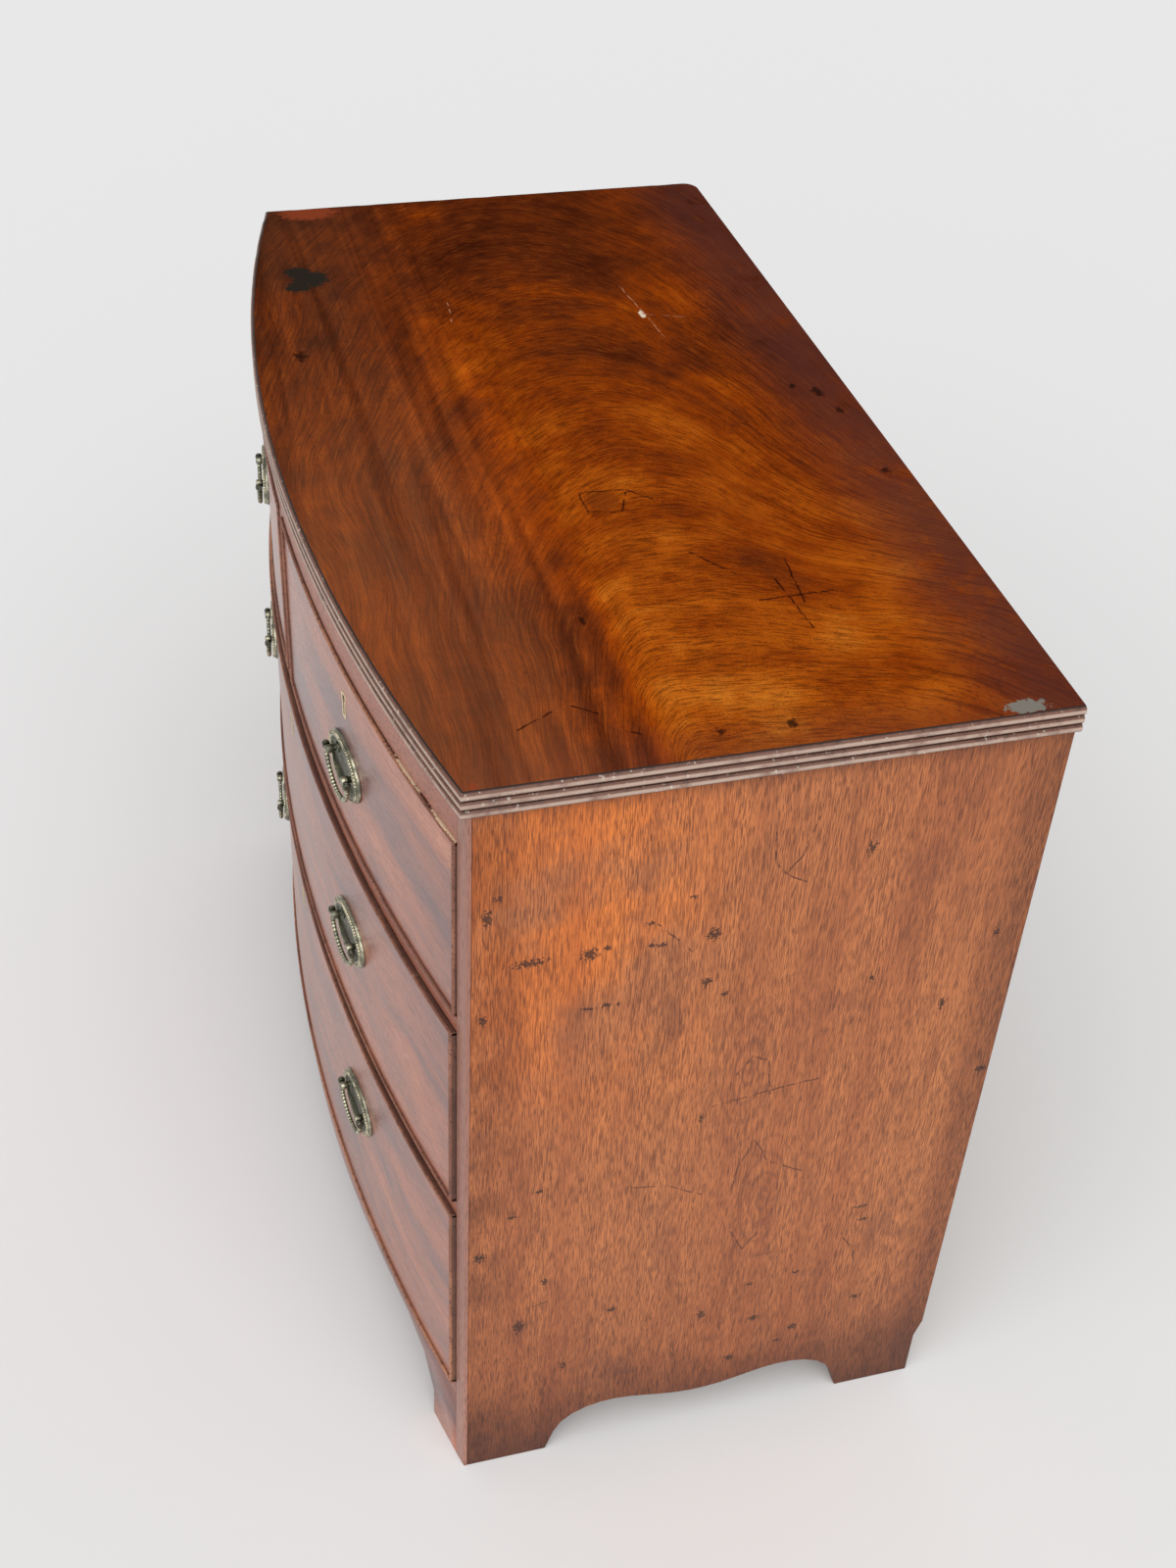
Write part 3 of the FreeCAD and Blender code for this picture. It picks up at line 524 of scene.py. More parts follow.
def makeTopVeneer():
    material, shader, where = startMaterial("topVeneer")
    look = topLook
    moved = where + (cloud(where, look["warpScale"], 2.5, 0.5, part="Color") - 0.5) * look["warp"]
    x, y = axes(moved)[:2]
    stillX, stillY = axes(where)[:2]

    # the grain runs along lines of equal distance from the crotch
    rise = (look["crotch"][0] - x) * look["rise"]
    over = y - look["crotch"][1]
    back = work("MAXIMUM", over, 0.0) * fade(x, 0.1, 0.36, 1.3, 0.5)
    front = over * -1.0 - fade(x, 0.05, 0.3, 0.0, 0.05)
    aside = back + work("MAXIMUM", front, 0.0) * fade(x, 0.05, 0.3, 1.0, 1.5)
    arch = work("SQRT", rise * rise + aside * aside)
    steep = fade(aside / arch, 0.2, 0.6)
    flow = combined(arch, x * look["drag"], y * look["drag"])

    def grainLines(scale, detail, length):
        vector = flow * (1, length, length)
        close = cloud(vector, scale * look["closeGrain"], detail)
        return close + (cloud(vector, scale, detail) - close) * steep

    streak = cloud(flow, look["streak"], 5.0, 0.6, 0.4)
    fibre = grainLines(look["fibre"], 3.0, 1)
    pores = fade(grainLines(look["pore"], 1.0, 5), 0.56, 0.63)
    patch = cloud(moved, look["patch"], 4.0, 0.6)
    mottle = cloud(moved, look["mottle"], 8.0, 0.72)

    # light and dark regions of the figure
    inside = fade(y, -0.064, -0.044) * fade(x, -0.1, 0.14)
    shine = inside * fade(y, 0.22, 0.08, 0.55, 1.0) * look["shine"]
    distant = fade(stillX, -0.05, -0.42, 0.0, look["distant"])
    shade = fade(y, -0.16, -0.08) * fade(y, -0.044, -0.07) * fade(x, -0.02, 0.2)
    away = work("LENGTH", (moved - look["glow"]) * look["glowShape"])
    golden = fade(away, 1.0, 0.1, 0.0, look["golden"])
    level = streak * look["streakShare"] + patch * look["patchShare"] + mottle * look["mottleShare"]
    level = level - look["level"] + (shine + golden - (distant + shade * look["shade"]))
    colour = colourSteps(level, look["steps"])
    colour = blendColour(fade(fibre, 0.48, 0.62, 0.0, 0.5), colour, look["line"])
    colour = blendColour(fade(fibre, 0.44, 0.33, 0.0, 0.5), colour, look["thread"], "SCREEN")
    colour = blendColour(pores * 0.42, colour, look["line"])

    # dirt at the edges, and a paler strip with bands at the front, paler towards the right end
    edges = strongest([fade(stillX, 0.42, 0.48, 0.0, 0.4), fade(stillY, 0.16, 0.25, 0.0, 0.82)])
    colour = blendColour(edges * fade(mottle, 0.2, 0.55), colour, look["edge"])
    veil = blendColour(fade(stillX, 0.2, -0.2), look["veil"], look["dimVeil"])
    colour = blendColour(fade(stillY, -0.05, -0.17, 0.0, 0.42), colour, veil)
    bands = colourSteps(cloud(stretched(where, look["bandStretch"]), 1.0, 3.0, 0.6, 0.4), look["bands"])
    colour = blendColour(fade(stillY, 0.02, -0.09, 0.0, 0.7), colour, bands, "MULTIPLY")
    wear = wearOf(where, look)
    colour = blendColour(wear["Dents"] * 0.8, colour, look["dent"])
    colour = blendColour(wear["Scuffs"] * 0.2, colour, look["scuff"])
    colour = markFace(where, colour, look, onTop)
    polish(shader, colour, fibre * 0.4 - (pores + wear["Dents"]), wear, look)
    return material


# reeded edge of the top: painted shade in the grooves, and crests pale from wear and a painted highlight
# along each ridge
reedLook = {
    "groove": tone(40, 27, 23), "body": tone(116, 79, 65), "crest": tone(204, 180, 164),
    "fleck": tone(226, 214, 200), "fibre": 160.0, "patches": 34.0, "flecks": 260.0,
    "specular": 0.35, "bump": 0.25, "depth": 0.0006,
}


def makeReedEdge():
    material, shader, where = startMaterial("reedEdge")
    look = reedLook
    rubAndShade = rubAndShadeOf(where)
    fibre = placeGroup(grainGroup, {"Vector": where, "Fibre Scale": look["fibre"]})["Fibre"]
    patchy = cloud(where, look["patches"], 5.0, 0.65)
    # painted shade: the reed darkens where it turns away, in the grooves between the reeds
    colour = blendColour(fade(rubAndShade, 0.2, 0.7), look["groove"], look["body"])
    colour = blendColour(fade(fibre, 0.45, 0.7, 0.0, 0.45), colour, look["groove"])
    # a pale line on each crest: wear together with a painted highlight
    worn = fade(rubAndShade, 0.8, 0.98) * fade(patchy, 0.22, 0.56)
    colour = blendColour(worn * 0.75, colour, look["crest"])
    flecks = fade(rubAndShade, 0.3, 0.5) * fade(cloud(where, look["flecks"], 3.0, 0.6), 0.62, 0.7)
    colour = blendColour(flecks * 0.5, colour, look["fleck"])
    feed(shader, {
        "Base Color": colour, "Roughness": fade(patchy, 0.3, 0.7, 0.32, 0.55),
        "Specular IOR Level": look["specular"], "Normal": relief(fibre + patchy, look["bump"], look["depth"]),
    })
    return material


# flame veneer of the drawer fronts and the apron
flameLook = {
    "steps": (
        (0.0, tone(94, 80, 84)), (0.25, tone(126, 93, 90)), (0.45, tone(156, 103, 89)),
        (0.7, tone(180, 112, 87)), (1.0, tone(204, 138, 108)),
    ),
    "line": tone(104, 56, 42), "scuff": tone(150, 104, 84), "wear": 0.5, "warp": 0.1, "warpScale": 5.0,
    "calm": 0.45, "flameStretch": (3.6, 3.6, 15.0), "flameLean": (0, -0.25, 0),
    "grainStretch": (0.7, 0.7, 9.0), "grainLean": (0, -0.3, 0), "streak": 3.0, "fibre": 72.0,
    "pore": 150.0, "poreAmount": 0.3, "flameShare": 1.75, "streakShare": 0.5, "level": 0.665,
    "rough": 0.2, "hazeRough": 0.2, "specular": 0.5, "bump": 0.12, "depth": 0.0005,
}


def makeFlameVeneer():
    material, shader, where = startMaterial("flameVeneer")
    look = flameLook
    push = (cloud(where, look["warpScale"], 3.0, 0.5, part="Color") - 0.5) * look["warp"]
    leaning = stretched(where + push, look["flameStretch"], look["flameLean"])
    flame = cloud(leaning, 1.0, 4.0, 0.55, 0.5)
    grain = grainOf(stretched(where + push * look["calm"], look["grainStretch"], look["grainLean"]), look)
    wear = wearOf(where, look)
    level = flame * look["flameShare"] + grain["Streak"] * look["streakShare"] - look["level"]
    colour = colourSteps(level, look["steps"])
    colour = blendColour(fade(grain["Fibre"], 0.48, 0.66, 0.0, 0.42), colour, look["line"])
    colour = blendColour(grain["Pores"] * 0.4, colour, look["line"])
    colour = blendColour(wear["Scuffs"] * 0.3, colour, look["scuff"])
    polish(shader, colour, grain["Fibre"] * 0.4 - grain["Pores"], wear, look)
    return material


# aged brass: bright where rubbed, dull and greenish in the hollows
brassLook = {
    "dull": tone(82, 85, 74), "green": tone(48, 57, 54), "brown": tone(33, 31, 26), "slit": tone(22, 14, 11),
    "patches": 110.0, "fine": 520.0, "broad": 30.0, "bump": 0.35, "depth": 0.0003,
    "furniture": {"bright": tone(208, 201, 174), "least": 0.0, "stain": 0.75, "metal": (0.75, 1.0)},
    "lining": {"bright": tone(226, 200, 154), "least": 0.9, "stain": 0.3, "metal": (0.2, 0.5)},
}


# the inner wall of a keyhole lining lies in the dark, behind the face at this radius of the bow
def slitShade(where, colour, radius):
    flat = (where - (0.0, bowCentre, 0.0)) * (1.0, 1.0, 0.0)
    return blendColour(fade(work("LENGTH", flat) - radius, -0.0008, 0.0001), brassLook["slit"], colour)


def makeBrass(name, dullness, rubbed, face=None):
    material, shader, where = startMaterial(name)
    look = brassLook
    kind = look["lining" if face else "furniture"]
    patches = cloud(where, look["patches"], 5.0, 0.6)
    fine = cloud(where, look["fine"], 3.0, 0.6)
    broad = cloud(where, look["broad"], 3.0)
    colour = blendColour(fade(broad, 0.4, 0.7, 0.0, dullness), look["dull"], look["green"])
    bright = fade(patches, 0.36, 0.66, kind["least"], 1.0)
    if rubbed:
        bright = (bright + 0.25) * (rubAndShadeOf(where) + 0.12)
    colour = blendColour(bright, colour, kind["bright"])
    colour = blendColour(fade(fine, 0.54, 0.72, 0.0, kind["stain"]), colour, look["brown"])
    if face:
        colour = slitShade(where, colour, face)
    feed(shader, {
        "Base Color": colour, "Roughness": fade(patches, 0.3, 0.65, 0.4, 0.24),
        "Metallic": fade(patches, 0.25, 0.55, *kind["metal"]),
        "Normal": relief(fine + patches * 0.5, look["bump"], look["depth"]),
    })
    return material


ironLook = {
    "dark": tone(38, 32, 28), "rust": tone(92, 58, 40), "patches": 300.0, "bump": 0.4, "depth": 0.0004,
}


def makeIron():
    material, shader, where = startMaterial("rustIron")
    look = ironLook
    patches = cloud(where, look["patches"], 4.0, 0.6)
    feed(shader, {
        "Base Color": blendColour(fade(patches, 0.35, 0.65), look["dark"], look["rust"]),
        "Roughness": fade(patches, 0.3, 0.7, 0.5, 0.8), "Metallic": fade(patches, 0.3, 0.7, 0.8, 0.2),
        "Normal": relief(patches, look["bump"], look["depth"]),
    })
    return material


topVeneer = makeTopVeneer()
flameVeneer = makeFlameVeneer()
reedEdge = makeReedEdge()
agedBrass = makeBrass("agedBrass", 0.6, True)
dullBrass = makeBrass("dullBrass", 0.75, False)
shortLining = makeBrass("shortLining", 0.2, False, bowRadius)
longLining = makeBrass("longLining", 0.2, False, bowRadius + chest["forward"])
rustIron = makeIron()
print("veneers and brass ready")


# mesh helpers
def loftMesh(name, loops):
    shape = bmesh.new()
    rows = [[shape.verts.new(spot) for spot in loop] for loop in loops]
    for first, second in zip(rows, rows[1:]):
        for here in range(len(first)):
            there = (here + 1) % len(first)
            shape.faces.new((first[here], first[there], second[there], second[here]))
    shape.faces.new(rows[0])
    shape.faces.new(rows[-1])
    bmesh.ops.recalc_face_normals(shape, faces=shape.faces)
    mesh = bpy.data.meshes.new(name)
    shape.to_mesh(mesh)
    shape.free()
    return mesh


def softenMesh(mesh, angle):
    mesh.shade_smooth()
    mesh.set_sharp_from_angle(angle=math.radians(angle))


def storeRubAndShade(mesh, values):
    mesh.attributes.new("rubAndShade", "FLOAT", "POINT").data.foreach_set("value", values)


def joinMeshes(name, parts):
    shape = bmesh.new()
    for mesh, place in parts:
        before = len(shape.verts)
        shape.from_mesh(mesh)
        shape.verts.ensure_lookup_table()
        bmesh.ops.transform(shape, matrix=place, verts=shape.verts[before:])
    joined = bpy.data.meshes.new(name)
    shape.to_mesh(joined)
    shape.free()
    return joined


def pathMesh(name, spots, closed):
    mesh = bpy.data.meshes.new(name)
    count = len(spots)
    mesh.from_pydata(spots, [(i, (i + 1) % count) for i in range(count if closed else count - 1)], [])
    return mesh


def around(count):
    return [2 * math.pi * step / count for step in range(count)]


def newPiece(name, mesh, material=None):
    if material:
        mesh.materials.clear()
        mesh.materials.append(material)
    piece = bpy.data.objects.new(name, mesh)
    bpy.context.collection.objects.link(piece)
    return piece


# a tree's inputs are set before the first evaluation, then its result becomes a plain mesh
def growPiece(name, mesh, tree, values):
    piece = newPiece(name, mesh)
    modifier = piece.modifiers.new("grow", "NODES")
    modifier.node_group = tree
    for item in tree.interface.items_tree:
        if item.in_out == "INPUT" and item.name in values:
            modifier[item.identifier] = values[item.name]
    graph = bpy.context.evaluated_depsgraph_get()
    grown = bpy.data.meshes.new_from_object(piece.evaluated_get(graph))
    piece.modifiers.remove(modifier)
    piece.data = grown
    return piece


# the mesh alone, for a shape that goes into a larger piece
def growMesh(name, mesh, tree, values):
    piece = growPiece(name, mesh, tree, values)
    grown = piece.data
    bpy.data.objects.remove(piece)
    return grown


# geometry trees take a path or strip and a finish, and end in real geometry with that finish
def newShape(name, inputs):
    sockets = {"Geometry": "NodeSocketGeometry", **inputs, "Finish": "NodeSocketMaterial"}
    return newGroup(name, "GeometryNodeTree", sockets)


def closeShape(shape, finish, smooth=False):
    real = put(shape.tree, "GeometryNodeRealizeInstances", {0: shape})
    if smooth:
        real = put(shape.tree, "GeometryNodeSetShadeSmooth", {"Geometry": real})
    done = put(shape.tree, "GeometryNodeSetMaterial", {"Geometry": real, "Material": finish})
    return closeGroup({"Geometry": done}, "NodeSocketGeometry")


def spotsAlong(shape, count):
    path = put(shape.tree, "GeometryNodeMeshToCurve", {0: shape})
    return path, put(shape.tree, "GeometryNodeResampleCurve", {"Curve": path, "Count": count})


# bends a straight strip, whose Y is its depth behind the face, round the bow of the front
def makeBowTree():
    tree, given = newShape("bowBend", {"Bow Radius": 2.0, "Bow Centre": 1.7})
    x, y, z = axes(put(tree, "GeometryNodeInputPosition"))
    reach = given["Bow Radius"] - y
    bent = combined(x, given["Bow Centre"] - work("SQRT", reach * reach - x * x), z)
    moved = put(tree, "GeometryNodeSetPosition", {"Geometry": given["Geometry"], "Position": bent})
    return closeShape(moved, given["Finish"])


# small beads along a path over a plain core, for plate rims and bails
def makeBeadTree():
    tree, given = newShape("beadRow", {"Bead Radius": 0.0014, "Bead Count": 60, "Core Radius": 0.001})
    path, spots = spotsAlong(given["Geometry"], given["Bead Count"])
    ball = {"Segments": 10, "Rings": 6, "Radius": given["Bead Radius"]}
    bead = put(tree, "GeometryNodeMeshUVSphere", ball)
    bead = put(tree, "GeometryNodeStoreNamedAttribute", {"Geometry": bead, "Name": "rubAndShade", "Value": 1.0})
    beads = put(tree, "GeometryNodeInstanceOnPoints", {"Points": spots, "Instance": bead})
    ring = put(tree, "GeometryNodeCurvePrimitiveCircle", {"Resolution": 10, "Radius": given["Core Radius"]})
    core = put(tree, "GeometryNodeCurveToMesh", {"Curve": path, "Profile Curve": ring, "Fill Caps": True})
    both = put(tree, "GeometryNodeJoinGeometry", {0: beads})
    feed(both.socket.node, {0: core})
    return closeShape(both, given["Finish"], True)


# flat headed nails along a line on the back, each a little out of true
def makeNailTree():
    tree, given = newShape("nailRow", {"Nail Count": 10, "Head Radius": 0.003, "Head Height": 0.0012})
    spots = spotsAlong(given["Geometry"], given["Nail Count"])[1]
    radius = given["Head Radius"]
    cone = {"Vertices": 9, "Radius Top": radius * 0.7, "Radius Bottom": radius, "Depth": given["Head Height"]}
    head = put(tree, "GeometryNodeMeshCone", cone)
    tip = put(tree, "FunctionNodeRandomValue", {2: -0.12, 3: 0.12, "Seed": 7}, 1, data_type="FLOAT")
    turned = put(tree, "FunctionNodeEulerToRotation", {0: combined(tip - math.pi / 2, 0.0, tip)})
    row = {"Points": spots, "Instance": head, "Rotation": turned}
    return closeShape(put(tree, "GeometryNodeInstanceOnPoints", row), given["Finish"])


bowTree = makeBowTree()
beadTree = makeBeadTree()
nailTree = makeNailTree()
print("geometry trees ready")


# materials for the CAD nodes that stay as they are
def dress(node, material):
    mesh = nodes[node].data
    if not mesh.materials:
        mesh.materials.append(material)
    for index in range(len(mesh.materials)):
        mesh.materials[index] = material


# worn arrises, with widths in metres and angles in degrees
arrisWear = {
    "weld": 0.00001, "flat": 0.3, "sharp": 35, "segments": 2,
    "widths": {
        "side_panel_left": 0.0012, "side_panel_right": 0.0012, "front_lippings": 0.0005, "front_apron": 0.001,
    },
}


def easeEdges(node, width):
    piece = nodes[node]
    weld = piece.modifiers.new("weld", "WELD")
    weld.merge_threshold = arrisWear["weld"]
    flatten = piece.modifiers.new("flatten", "DECIMATE")
    flatten.decimate_type = "DISSOLVE"
    flatten.angle_limit = math.radians(arrisWear["flat"])
    arris = piece.modifiers.new("arris", "BEVEL")
    arris.width = width
    arris.segments = arrisWear["segments"]
    arris.limit_method = "ANGLE"
    arris.angle_limit = math.radians(arrisWear["sharp"])
    arris.use_clamp_overlap = False
    arris.harden_normals = True


drawerNames = ["short_drawer_left", "short_drawer_right", "long_drawer_upper", "long_drawer_lower"]
dressing = {
    "sideMahogany": ("side_panel_left", "side_panel_right"),
    "lippingMahogany": ("front_lippings", "centre_divider"),
    "edgeMahogany": ("top_rail", "upper_drawer_rail", "lower_drawer_rail", "bottom_rail"),
    "dryOak": ("runners_and_guides", "drawer_stops"),
    "dryPine": ("back_boards", "foot_blocks"),
    "pineAcross": ("dust_boards", "bottom_board", "rear_foot_brackets"),
}
for timber, boards in dressing.items():
    for node in boards:
        dress(node, timbers[timber])
dress("front_apron", flameVeneer)
for drawer in drawerNames:
    dress(drawer + "_front", flameVeneer)
    for board, timber in (("sides", "dryOak"), ("back", "oakAcross"), ("bottom", "oakAcross")):
        dress(drawer + "_" + board, timbers[timber])
    dress(drawer + "_lock", dullBrass)
    dress(drawer + "_escutcheon", longLining if "long" in drawer else shortLining)
for node, width in arrisWear["widths"].items():
    easeEdges(node, width)
print("CAD nodes dressed")


# top board with three half round reeds on the front and both ends, the upper one worn
topBoard = {
    "reeds": 3, "reedDepth": 0.0036, "reedSteps": 7, "frontSteps": 120, "endSteps": 40, "soft": 50,
    "wornCorner": 0.014, "cornerSteps": 6, "backLine": 0.264, "flatFace": 0.99, "backFace": 0.95,
    "edgeCorners": 8, "chip": 0.0011, "chipSteps": 4, "chipScale": 46, "chipSeed": 3.1, "chipRare": 0.18,
    "chipPull": 0.3, "chipDrop": 0.6,
}


def topOutline(inset):
    half = chest["topWidth"] / 2 - inset
    radius = topRadius - inset
    back, steps, worn = chest["back"], topBoard["endSteps"], topBoard["wornCorner"]
    corner = bowY(half, radius, topCentre)
    ends = [back + (corner - back) * i / steps for i in range(steps)]
    spots = [(half, y) for y in ends]
    for i in range(topBoard["frontSteps"] + 1):
        x = half - 2 * half * i / topBoard["frontSteps"]
        spots.append((x, bowY(x, radius, topCentre)))
    spots += [(-half, y) for y in reversed(ends[1:]) if y < back - worn]
    for i in range(topBoard["cornerSteps"] + 1):
        turn = math.pi / 2 * i / topBoard["cornerSteps"]
        spots.append((worn * (1 - math.cos(turn)) - half, back - worn + worn * math.sin(turn)))
    return spots


def chipAt(x, y):
    scale = topBoard["chipScale"]
    rough = noise.noise(Vector((x * scale, y * scale, topBoard["chipSeed"])))
    return topBoard["chip"] * max(0.0, rough - topBoard["chipRare"])


def makeTopBoard():
    height = chest["topThick"] / topBoard["reeds"]
    loops, rubsAndShades = [], []
    for reed in range(topBoard["reeds"]):
        middle = chest["height"] - height * (reed + 0.5)
        for step in range(1 if reed else 0, topBoard["reedSteps"] + 1):
            turn = math.pi / 2 - math.pi * step / topBoard["reedSteps"]
            z = middle + height / 2 * math.sin(turn)
            loop = []
            for x, y in topOutline(topBoard["reedDepth"] * (1 - math.cos(turn))):
                chip = chipAt(x, y) if reed == 0 and 0 < step < topBoard["chipSteps"] else 0.0
                pull = 1 - chip / topBoard["chipPull"]
                inward = y if y > topBoard["backLine"] else y * pull
                loop.append((x * pull, inward, z - chip * topBoard["chipDrop"]))
            loops.append(loop)
            # how far each face of a reed turns outwards; the edge material paints shade in the grooves and a
            # highlight on the crests from it
            rubsAndShades += [max(0.0, math.cos(turn))] * len(loop)
    mesh = loftMesh("reededTop", loops)
    storeRubAndShade(mesh, rubsAndShades)
    for material in (reedEdge, topVeneer, timbers["edgeMahogany"]):
        mesh.materials.append(material)
    for face in mesh.polygons:
        if face.normal.z > topBoard["flatFace"] and len(face.vertices) > topBoard["edgeCorners"]:
            face.material_index = 1
        elif face.normal.y > topBoard["backFace"] or face.normal.z < -topBoard["flatFace"]:
            face.material_index = 2  # plain back edge and underside
    softenMesh(mesh, topBoard["soft"])
    return newPiece("reededTop", mesh)


top = makeTopBoard()
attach(top, "carcase")
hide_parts("top_board")
print("top board made")


# cock beading: four half round strips to a drawer, bent round the bow
beading = {
    "steps": 72, "uprightSteps": 8, "noseSteps": 6, "ledge": 0.0004, "soft": 50, "backShadeLevel": 0.3,
    "noseShadeLevel": 0.4,
}


def stripMesh(name, xLow, xHigh, zLow, zHigh, level, ledge):
    thick = (zHigh - zLow) if level else (xHigh - xLow)
    deep, half = chest["beadRebate"], thick / 2
    turns = [-math.pi / 2 + math.pi * step / beading["noseSteps"] for step in range(beading["noseSteps"] + 1)]
    nose = [(half * (1 - math.cos(turn)) - chest["beadProud"], half * (1 + math.sin(turn))) for turn in turns]
    outline = [(deep, 0.0), (ledge, 0.0)] + nose + [(ledge, thick), (deep, thick)]
    count = beading["steps"] if level else beading["uprightSteps"]
    loops = []
    for step in range(count + 1):
        share = step / count
        if level:
            loops.append([(xLow + (xHigh - xLow) * share, depth, zLow + across) for depth, across in outline])
        else:
            loops.append([(xLow + across, depth, zLow + (zHigh - zLow) * share) for depth, across in outline])
    mesh = loftMesh(name, loops)
    # the stored value is low behind the nose and at its top and bottom edge, where the bead material paints
    # shade
    crest = [beading["noseShadeLevel"] + (1 - beading["noseShadeLevel"]) * math.cos(turn) for turn in turns]
    storeRubAndShade(mesh, ([0.0, beading["backShadeLevel"]] + crest + [beading["backShadeLevel"], 0.0]) * (count + 1))
    return mesh


def byDrawer(table, drawer):
    return next(value for start, value in table.items() if drawer.startswith(start))


def drawerBox(drawer):
    low, tall = byDrawer(chest["rows"], drawer)
    left = chest["divider"] / 2 if drawer.endswith("right") else -chest["inner"]
    right = -chest["divider"] / 2 if drawer.endswith("left") else chest["inner"]
    play = chest["sidePlay"]
    return (left + play, right - play, low + chest["runnerPlay"], low + tall - chest["topPlay"])


def drawerFace(drawer):
    return bowRadius + (chest["forward"] if "long" in drawer else 0.0)


for drawer in drawerNames:
    xLow, xHigh, zLow, zHigh = drawerBox(drawer)
    thick, ledge = chest["beadThick"], drawerFace(drawer) - bowRadius + beading["ledge"]
    strips = [
        stripMesh("upper", xLow, xHigh, zHigh - thick, zHigh, True, ledge),
        stripMesh("lower", xLow, xHigh, zLow, zLow + thick, True, ledge),
        stripMesh("left", xLow, xLow + thick, zLow + thick / 3, zHigh - thick / 3, False, ledge),
        stripMesh("right", xHigh - thick, xHigh, zLow + thick / 3, zHigh - thick / 3, False, ledge),
    ]
    flat = joinMeshes(drawer + "_beads", [(strip, Matrix()) for strip in strips])
    softenMesh(flat, beading["soft"])
    piece = growPiece(drawer + "_beads", flat, bowTree, {
        "Bow Radius": drawerFace(drawer), "Bow Centre": bowCentre, "Finish": timbers["beadMahogany"],
    })
    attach(piece, drawer)
    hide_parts(drawer + "_cock_beading")
print("cock beading made")


# handles: a dished oval plate with a beaded rim, two turned posts and a beaded bail
# profile: (share of the plate, height), post: (radius, reach), ear: (radius, way past the bail's side)
handle = {
    "plateWide": 0.078, "plateTall": 0.053, "plateDrop": 0.003, "rings": 72, "dishSoft": 60,
    "profile": (
        (1.0, 0.0), (1.0, 0.0014), (0.985, 0.0024), (0.962, 0.0030), (0.945, 0.0034), (0.885, 0.0036),
        (0.868, 0.0046), (0.85, 0.0048), (0.83, 0.0046), (0.80, 0.0036), (0.765, 0.0024), (0.72, 0.0016),
        (0.66, 0.0013), (0.4, 0.0012), (0.06, 0.0012),
    ),
    "crest": 0.0042, "rim": 0.9, "crestRub": 0.9, "rimRub": 0.45, "dishRub": 0.06,
    "beads": 68, "beadRadius": 0.00145, "beadShare": 0.915, "beadHeight": 0.0036, "beadSteps": 90,
    "beadCore": 0.0006,
    "post": (
        (0.0050, 0.0012), (0.0050, 0.0020), (0.0042, 0.0027), (0.0030, 0.0032), (0.0028, 0.0046),
        (0.0034, 0.0056), (0.0037, 0.0066), (0.0038, 0.0074), (0.0038, 0.0106), (0.0034, 0.0114),
        (0.0022, 0.0118), (0.0010, 0.0119),
    ),
    "postSpacing": 0.0436, "postSteps": 18, "knob": 0.006, "knobRub": 0.4, "stemRub": 0.2, "turnedSoft": 45,
    "standoff": 0.009, "bailWide": 0.063, "bailDrop": 0.031, "bailSteps": 48, "bailBeads": 27, "bar": 0.0046,
    "core": 0.42, "earRise": 0.0024, "earSteps": 16, "pin": 0.0016, "pinInset": 0.001,
    "ear": (
        (0.0016, -0.0026), (0.0030, -0.0024), (0.0034, -0.0012), (0.0034, 0.0012), (0.0028, 0.0022),
        (0.0010, 0.0023),
    ),
    "places": {
        "short_drawer_left": (-1,), "short_drawer_right": (1,),
        "long_drawer_upper": (-1, 1), "long_drawer_lower": (-1, 1),
    },
    "xPlace": 0.232815, "heights": {"short": 0.686914, "long_drawer_u": 0.497965, "long_drawer_l": 0.270994},
}


def ovalLoop(share, height, count):
    wide, tall = handle["plateWide"] / 2 * share, handle["plateTall"] / 2 * share
    turns = around(count)
    return [(wide * math.cos(turn), -height, tall * math.sin(turn) - handle["plateDrop"]) for turn in turns]


def makePlateMesh():
    dish = loftMesh("dish", [ovalLoop(share, height, handle["rings"]) for share, height in handle["profile"]])
    rubsAndShades = []
    for share, height in handle["profile"]:
        low = handle["rimRub"] if share > handle["rim"] else handle["dishRub"]
        rubsAndShades += [handle["crestRub"] if height > handle["crest"] else low] * handle["rings"]
    storeRubAndShade(dish, rubsAndShades)
    softenMesh(dish, handle["dishSoft"])
    rim = pathMesh("rim", ovalLoop(handle["beadShare"], handle["beadHeight"], handle["beadSteps"]), True)
    beads = growMesh("rimBeads", rim, beadTree, {
        "Bead Radius": handle["beadRadius"], "Bead Count": handle["beads"], "Core Radius": handle["beadCore"],
        "Finish": agedBrass,
    })
    return joinMeshes("plate", [(dish, Matrix()), (beads, Matrix())])


def makePostMesh():
    loops, rubsAndShades = [], []
    for radius, out in handle["post"]:
        turns = around(handle["postSteps"])
        loops.append([(radius * math.cos(turn), -out, radius * math.sin(turn)) for turn in turns])
        rubsAndShades += [handle["knobRub"] if out > handle["knob"] else handle["stemRub"]] * len(turns)
    mesh = loftMesh("post", loops)
    storeRubAndShade(mesh, rubsAndShades)
    softenMesh(mesh, handle["turnedSoft"])
    return mesh


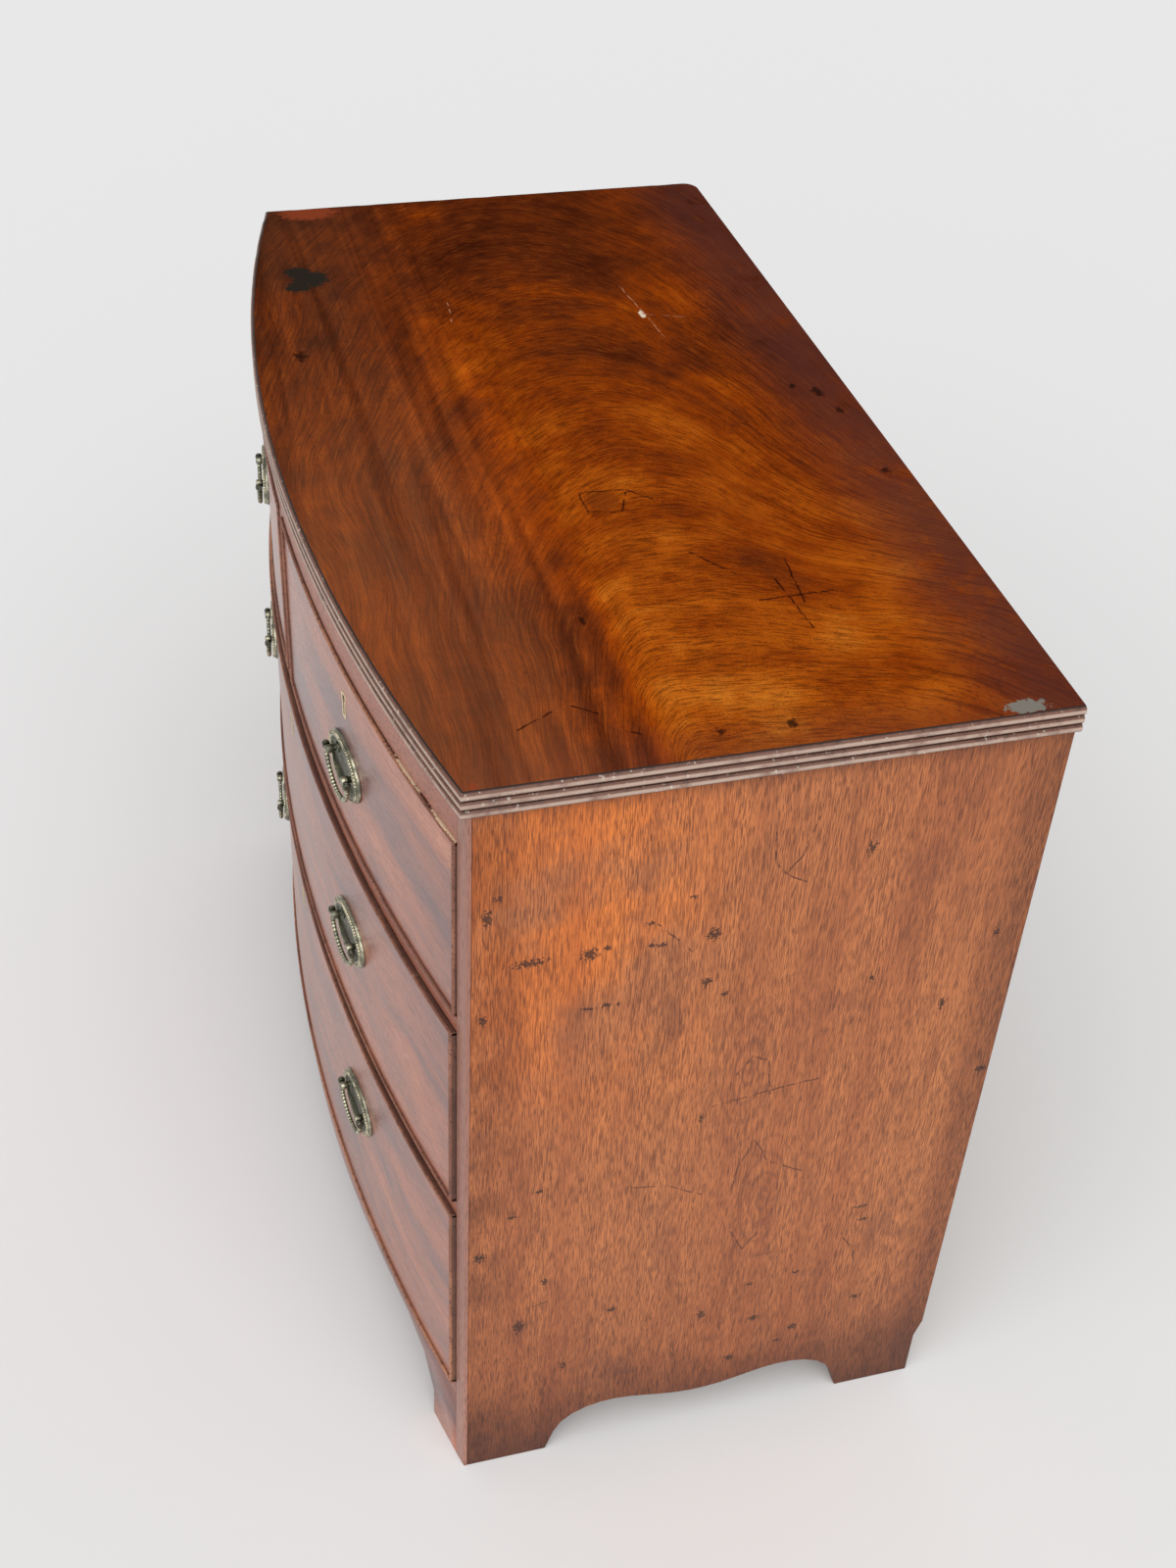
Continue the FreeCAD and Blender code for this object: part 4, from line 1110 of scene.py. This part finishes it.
def makeBailMesh():
    across = (handle["bailWide"] - handle["bar"]) / 2
    down = handle["bailDrop"] - handle["bar"] / 2 - handle["earRise"]
    out, rise = -handle["standoff"], handle["earRise"]
    path = [(across, out, rise * 0.5)]
    for step in range(handle["bailSteps"] + 1):
        turn = math.pi * step / handle["bailSteps"]
        path.append((across * math.cos(turn), out, -rise - down * math.sin(turn)))
    path.append((-across, out, rise * 0.5))
    run = growMesh("bailRun", pathMesh("bailPath", path, False), beadTree, {
        "Bead Radius": handle["bar"] / 2, "Bead Count": handle["bailBeads"],
        "Core Radius": handle["bar"] * handle["core"], "Finish": agedBrass,
    })
    parts = [(run, Matrix())]
    rings = [(handle["pin"], handle["postSpacing"] / 2 - handle["pinInset"])]
    rings += [(radius, across + past) for radius, past in handle["ear"]]
    for side in (-1, 1):
        ear = []  # a turned collar on the pin, the eye of the bail
        for radius, x in rings:
            turns = around(handle["earSteps"])
            ear.append([(side * x, out + radius * math.cos(turn), radius * math.sin(turn)) for turn in turns])
        collar = loftMesh("ear", ear)
        softenMesh(collar, handle["turnedSoft"])
        parts.append((collar, Matrix()))
    return joinMeshes("bail", parts)


def onFace(x, z, radius):
    return Matrix.Translation((x, bowY(x, radius), z)) @ Matrix.Rotation(math.asin(x / radius), 4, "Z")


plateMesh = makePlateMesh()
postMesh = makePostMesh()
bailMesh = makeBailMesh()
for drawer, sides in handle["places"].items():
    height = byDrawer(handle["heights"], drawer)
    spots = [onFace(side * handle["xPlace"], height, drawerFace(drawer)) for side in sides]
    half = handle["postSpacing"] / 2
    plateMeshes = joinMeshes(drawer + "_plates", [(plateMesh, spot) for spot in spots])
    plates = newPiece(drawer + "_plates", plateMeshes, agedBrass)
    pairs = [(postMesh, spot @ Matrix.Translation((x, 0, 0))) for spot in spots for x in (-half, half)]
    posts = newPiece(drawer + "_posts", joinMeshes(drawer + "_posts", pairs), agedBrass)
    for piece, node in ((plates, drawer + "_handle_plates"), (posts, drawer + "_handle_posts")):
        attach(piece, drawer)
        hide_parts(node)
    for side, spot in zip(sides, spots):
        body = drawer + "_bail" + ("" if len(sides) == 1 else ("_left" if side < 0 else "_right"))
        ring = newPiece(body + "_ring", joinMeshes(body, [(bailMesh, spot)]), agedBrass)
        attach(ring, body)
        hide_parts(body)
print("handles made")


# nails that hold the back boards
nails = {
    "rows": (0.135, 0.46, 0.80), "reach": 0.44, "y": 0.2652, "count": 16, "radius": 0.0032, "height": 0.0014,
}


def makeNails():
    parts = []
    for z in nails["rows"]:
        ends = [(x, nails["y"], z) for x in (-nails["reach"], nails["reach"])]
        line = pathMesh("nailLine", ends, False)
        row = growMesh("nailRow", line, nailTree, {
            "Nail Count": nails["count"], "Head Radius": nails["radius"], "Head Height": nails["height"],
            "Finish": rustIron,
        })
        parts.append((row, Matrix()))
    return newPiece("backNails", joinMeshes("backNails", parts), rustIron)


backNails = makeNails()
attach(backNails, "carcase")
print("nails made")


# floor, light and camera
stageLook = {
    "floor": 0.82, "floorRough": 0.9, "floorHalf": 30, "world": 0.45, "sun": 2.3, "sunAngle": 80,
    "sunFrom": (0.62, -0.28, 0.73),
}
reach = stageLook["floorHalf"]
floorMesh = bpy.data.meshes.new("floor")
corners = [(-reach, -reach, 0), (reach, -reach, 0), (reach, reach, 0), (-reach, reach, 0)]
floorMesh.from_pydata(corners, [], [(0, 1, 2, 3)])
floorPaint = bpy.data.materials.new("palePaper")
floorPaint.use_nodes = True
feed(floorPaint.node_tree.nodes["Principled BSDF"], {
    "Base Color": (stageLook["floor"],) * 3 + (1,), "Roughness": stageLook["floorRough"],
    "Specular IOR Level": 0.0,
})
floor = newPiece("floor", floorMesh, floorPaint)

world = bpy.data.worlds.new("studio")
world.use_nodes = True
feed(world.node_tree.nodes["Background"], {0: (1.0, 1.0, 1.0, 1), 1: stageLook["world"]})
bpy.context.scene.world = world
bpy.context.scene.view_settings.view_transform = "Standard"

lamp = bpy.data.lights.new("softSky", "SUN")
lamp.energy = stageLook["sun"]
lamp.angle = math.radians(stageLook["sunAngle"])
softSky = bpy.data.objects.new("softSky", lamp)
softSky.rotation_euler = Vector(stageLook["sunFrom"]).to_track_quat("Z", "Y").to_euler()
bpy.context.collection.objects.link(softSky)

viewLook = {
    "lens": 44.459, "sensor": 36, "shiftX": 0.00064, "shiftY": -0.01829,
    "place": (1.452976, -0.415252, 1.700743), "right": (0.26033626, 0.96454011, 0.04344432),
    "up": (-0.61955149, 0.13237214, 0.77371414), "behind": (0.7405275, -0.22834184, 0.63204353),
}
camera = bpy.data.cameras.new("viewer")
camera.lens = viewLook["lens"]
camera.sensor_width = viewLook["sensor"]
camera.shift_x = viewLook["shiftX"]
camera.shift_y = viewLook["shiftY"]
viewer = bpy.data.objects.new("viewer", camera)
turn = Matrix((viewLook["right"], viewLook["up"], viewLook["behind"])).transposed().to_4x4()
viewer.matrix_world = Matrix.Translation(viewLook["place"]) @ turn
bpy.context.collection.objects.link(viewer)
bpy.context.scene.camera = viewer
print("stage and camera set")
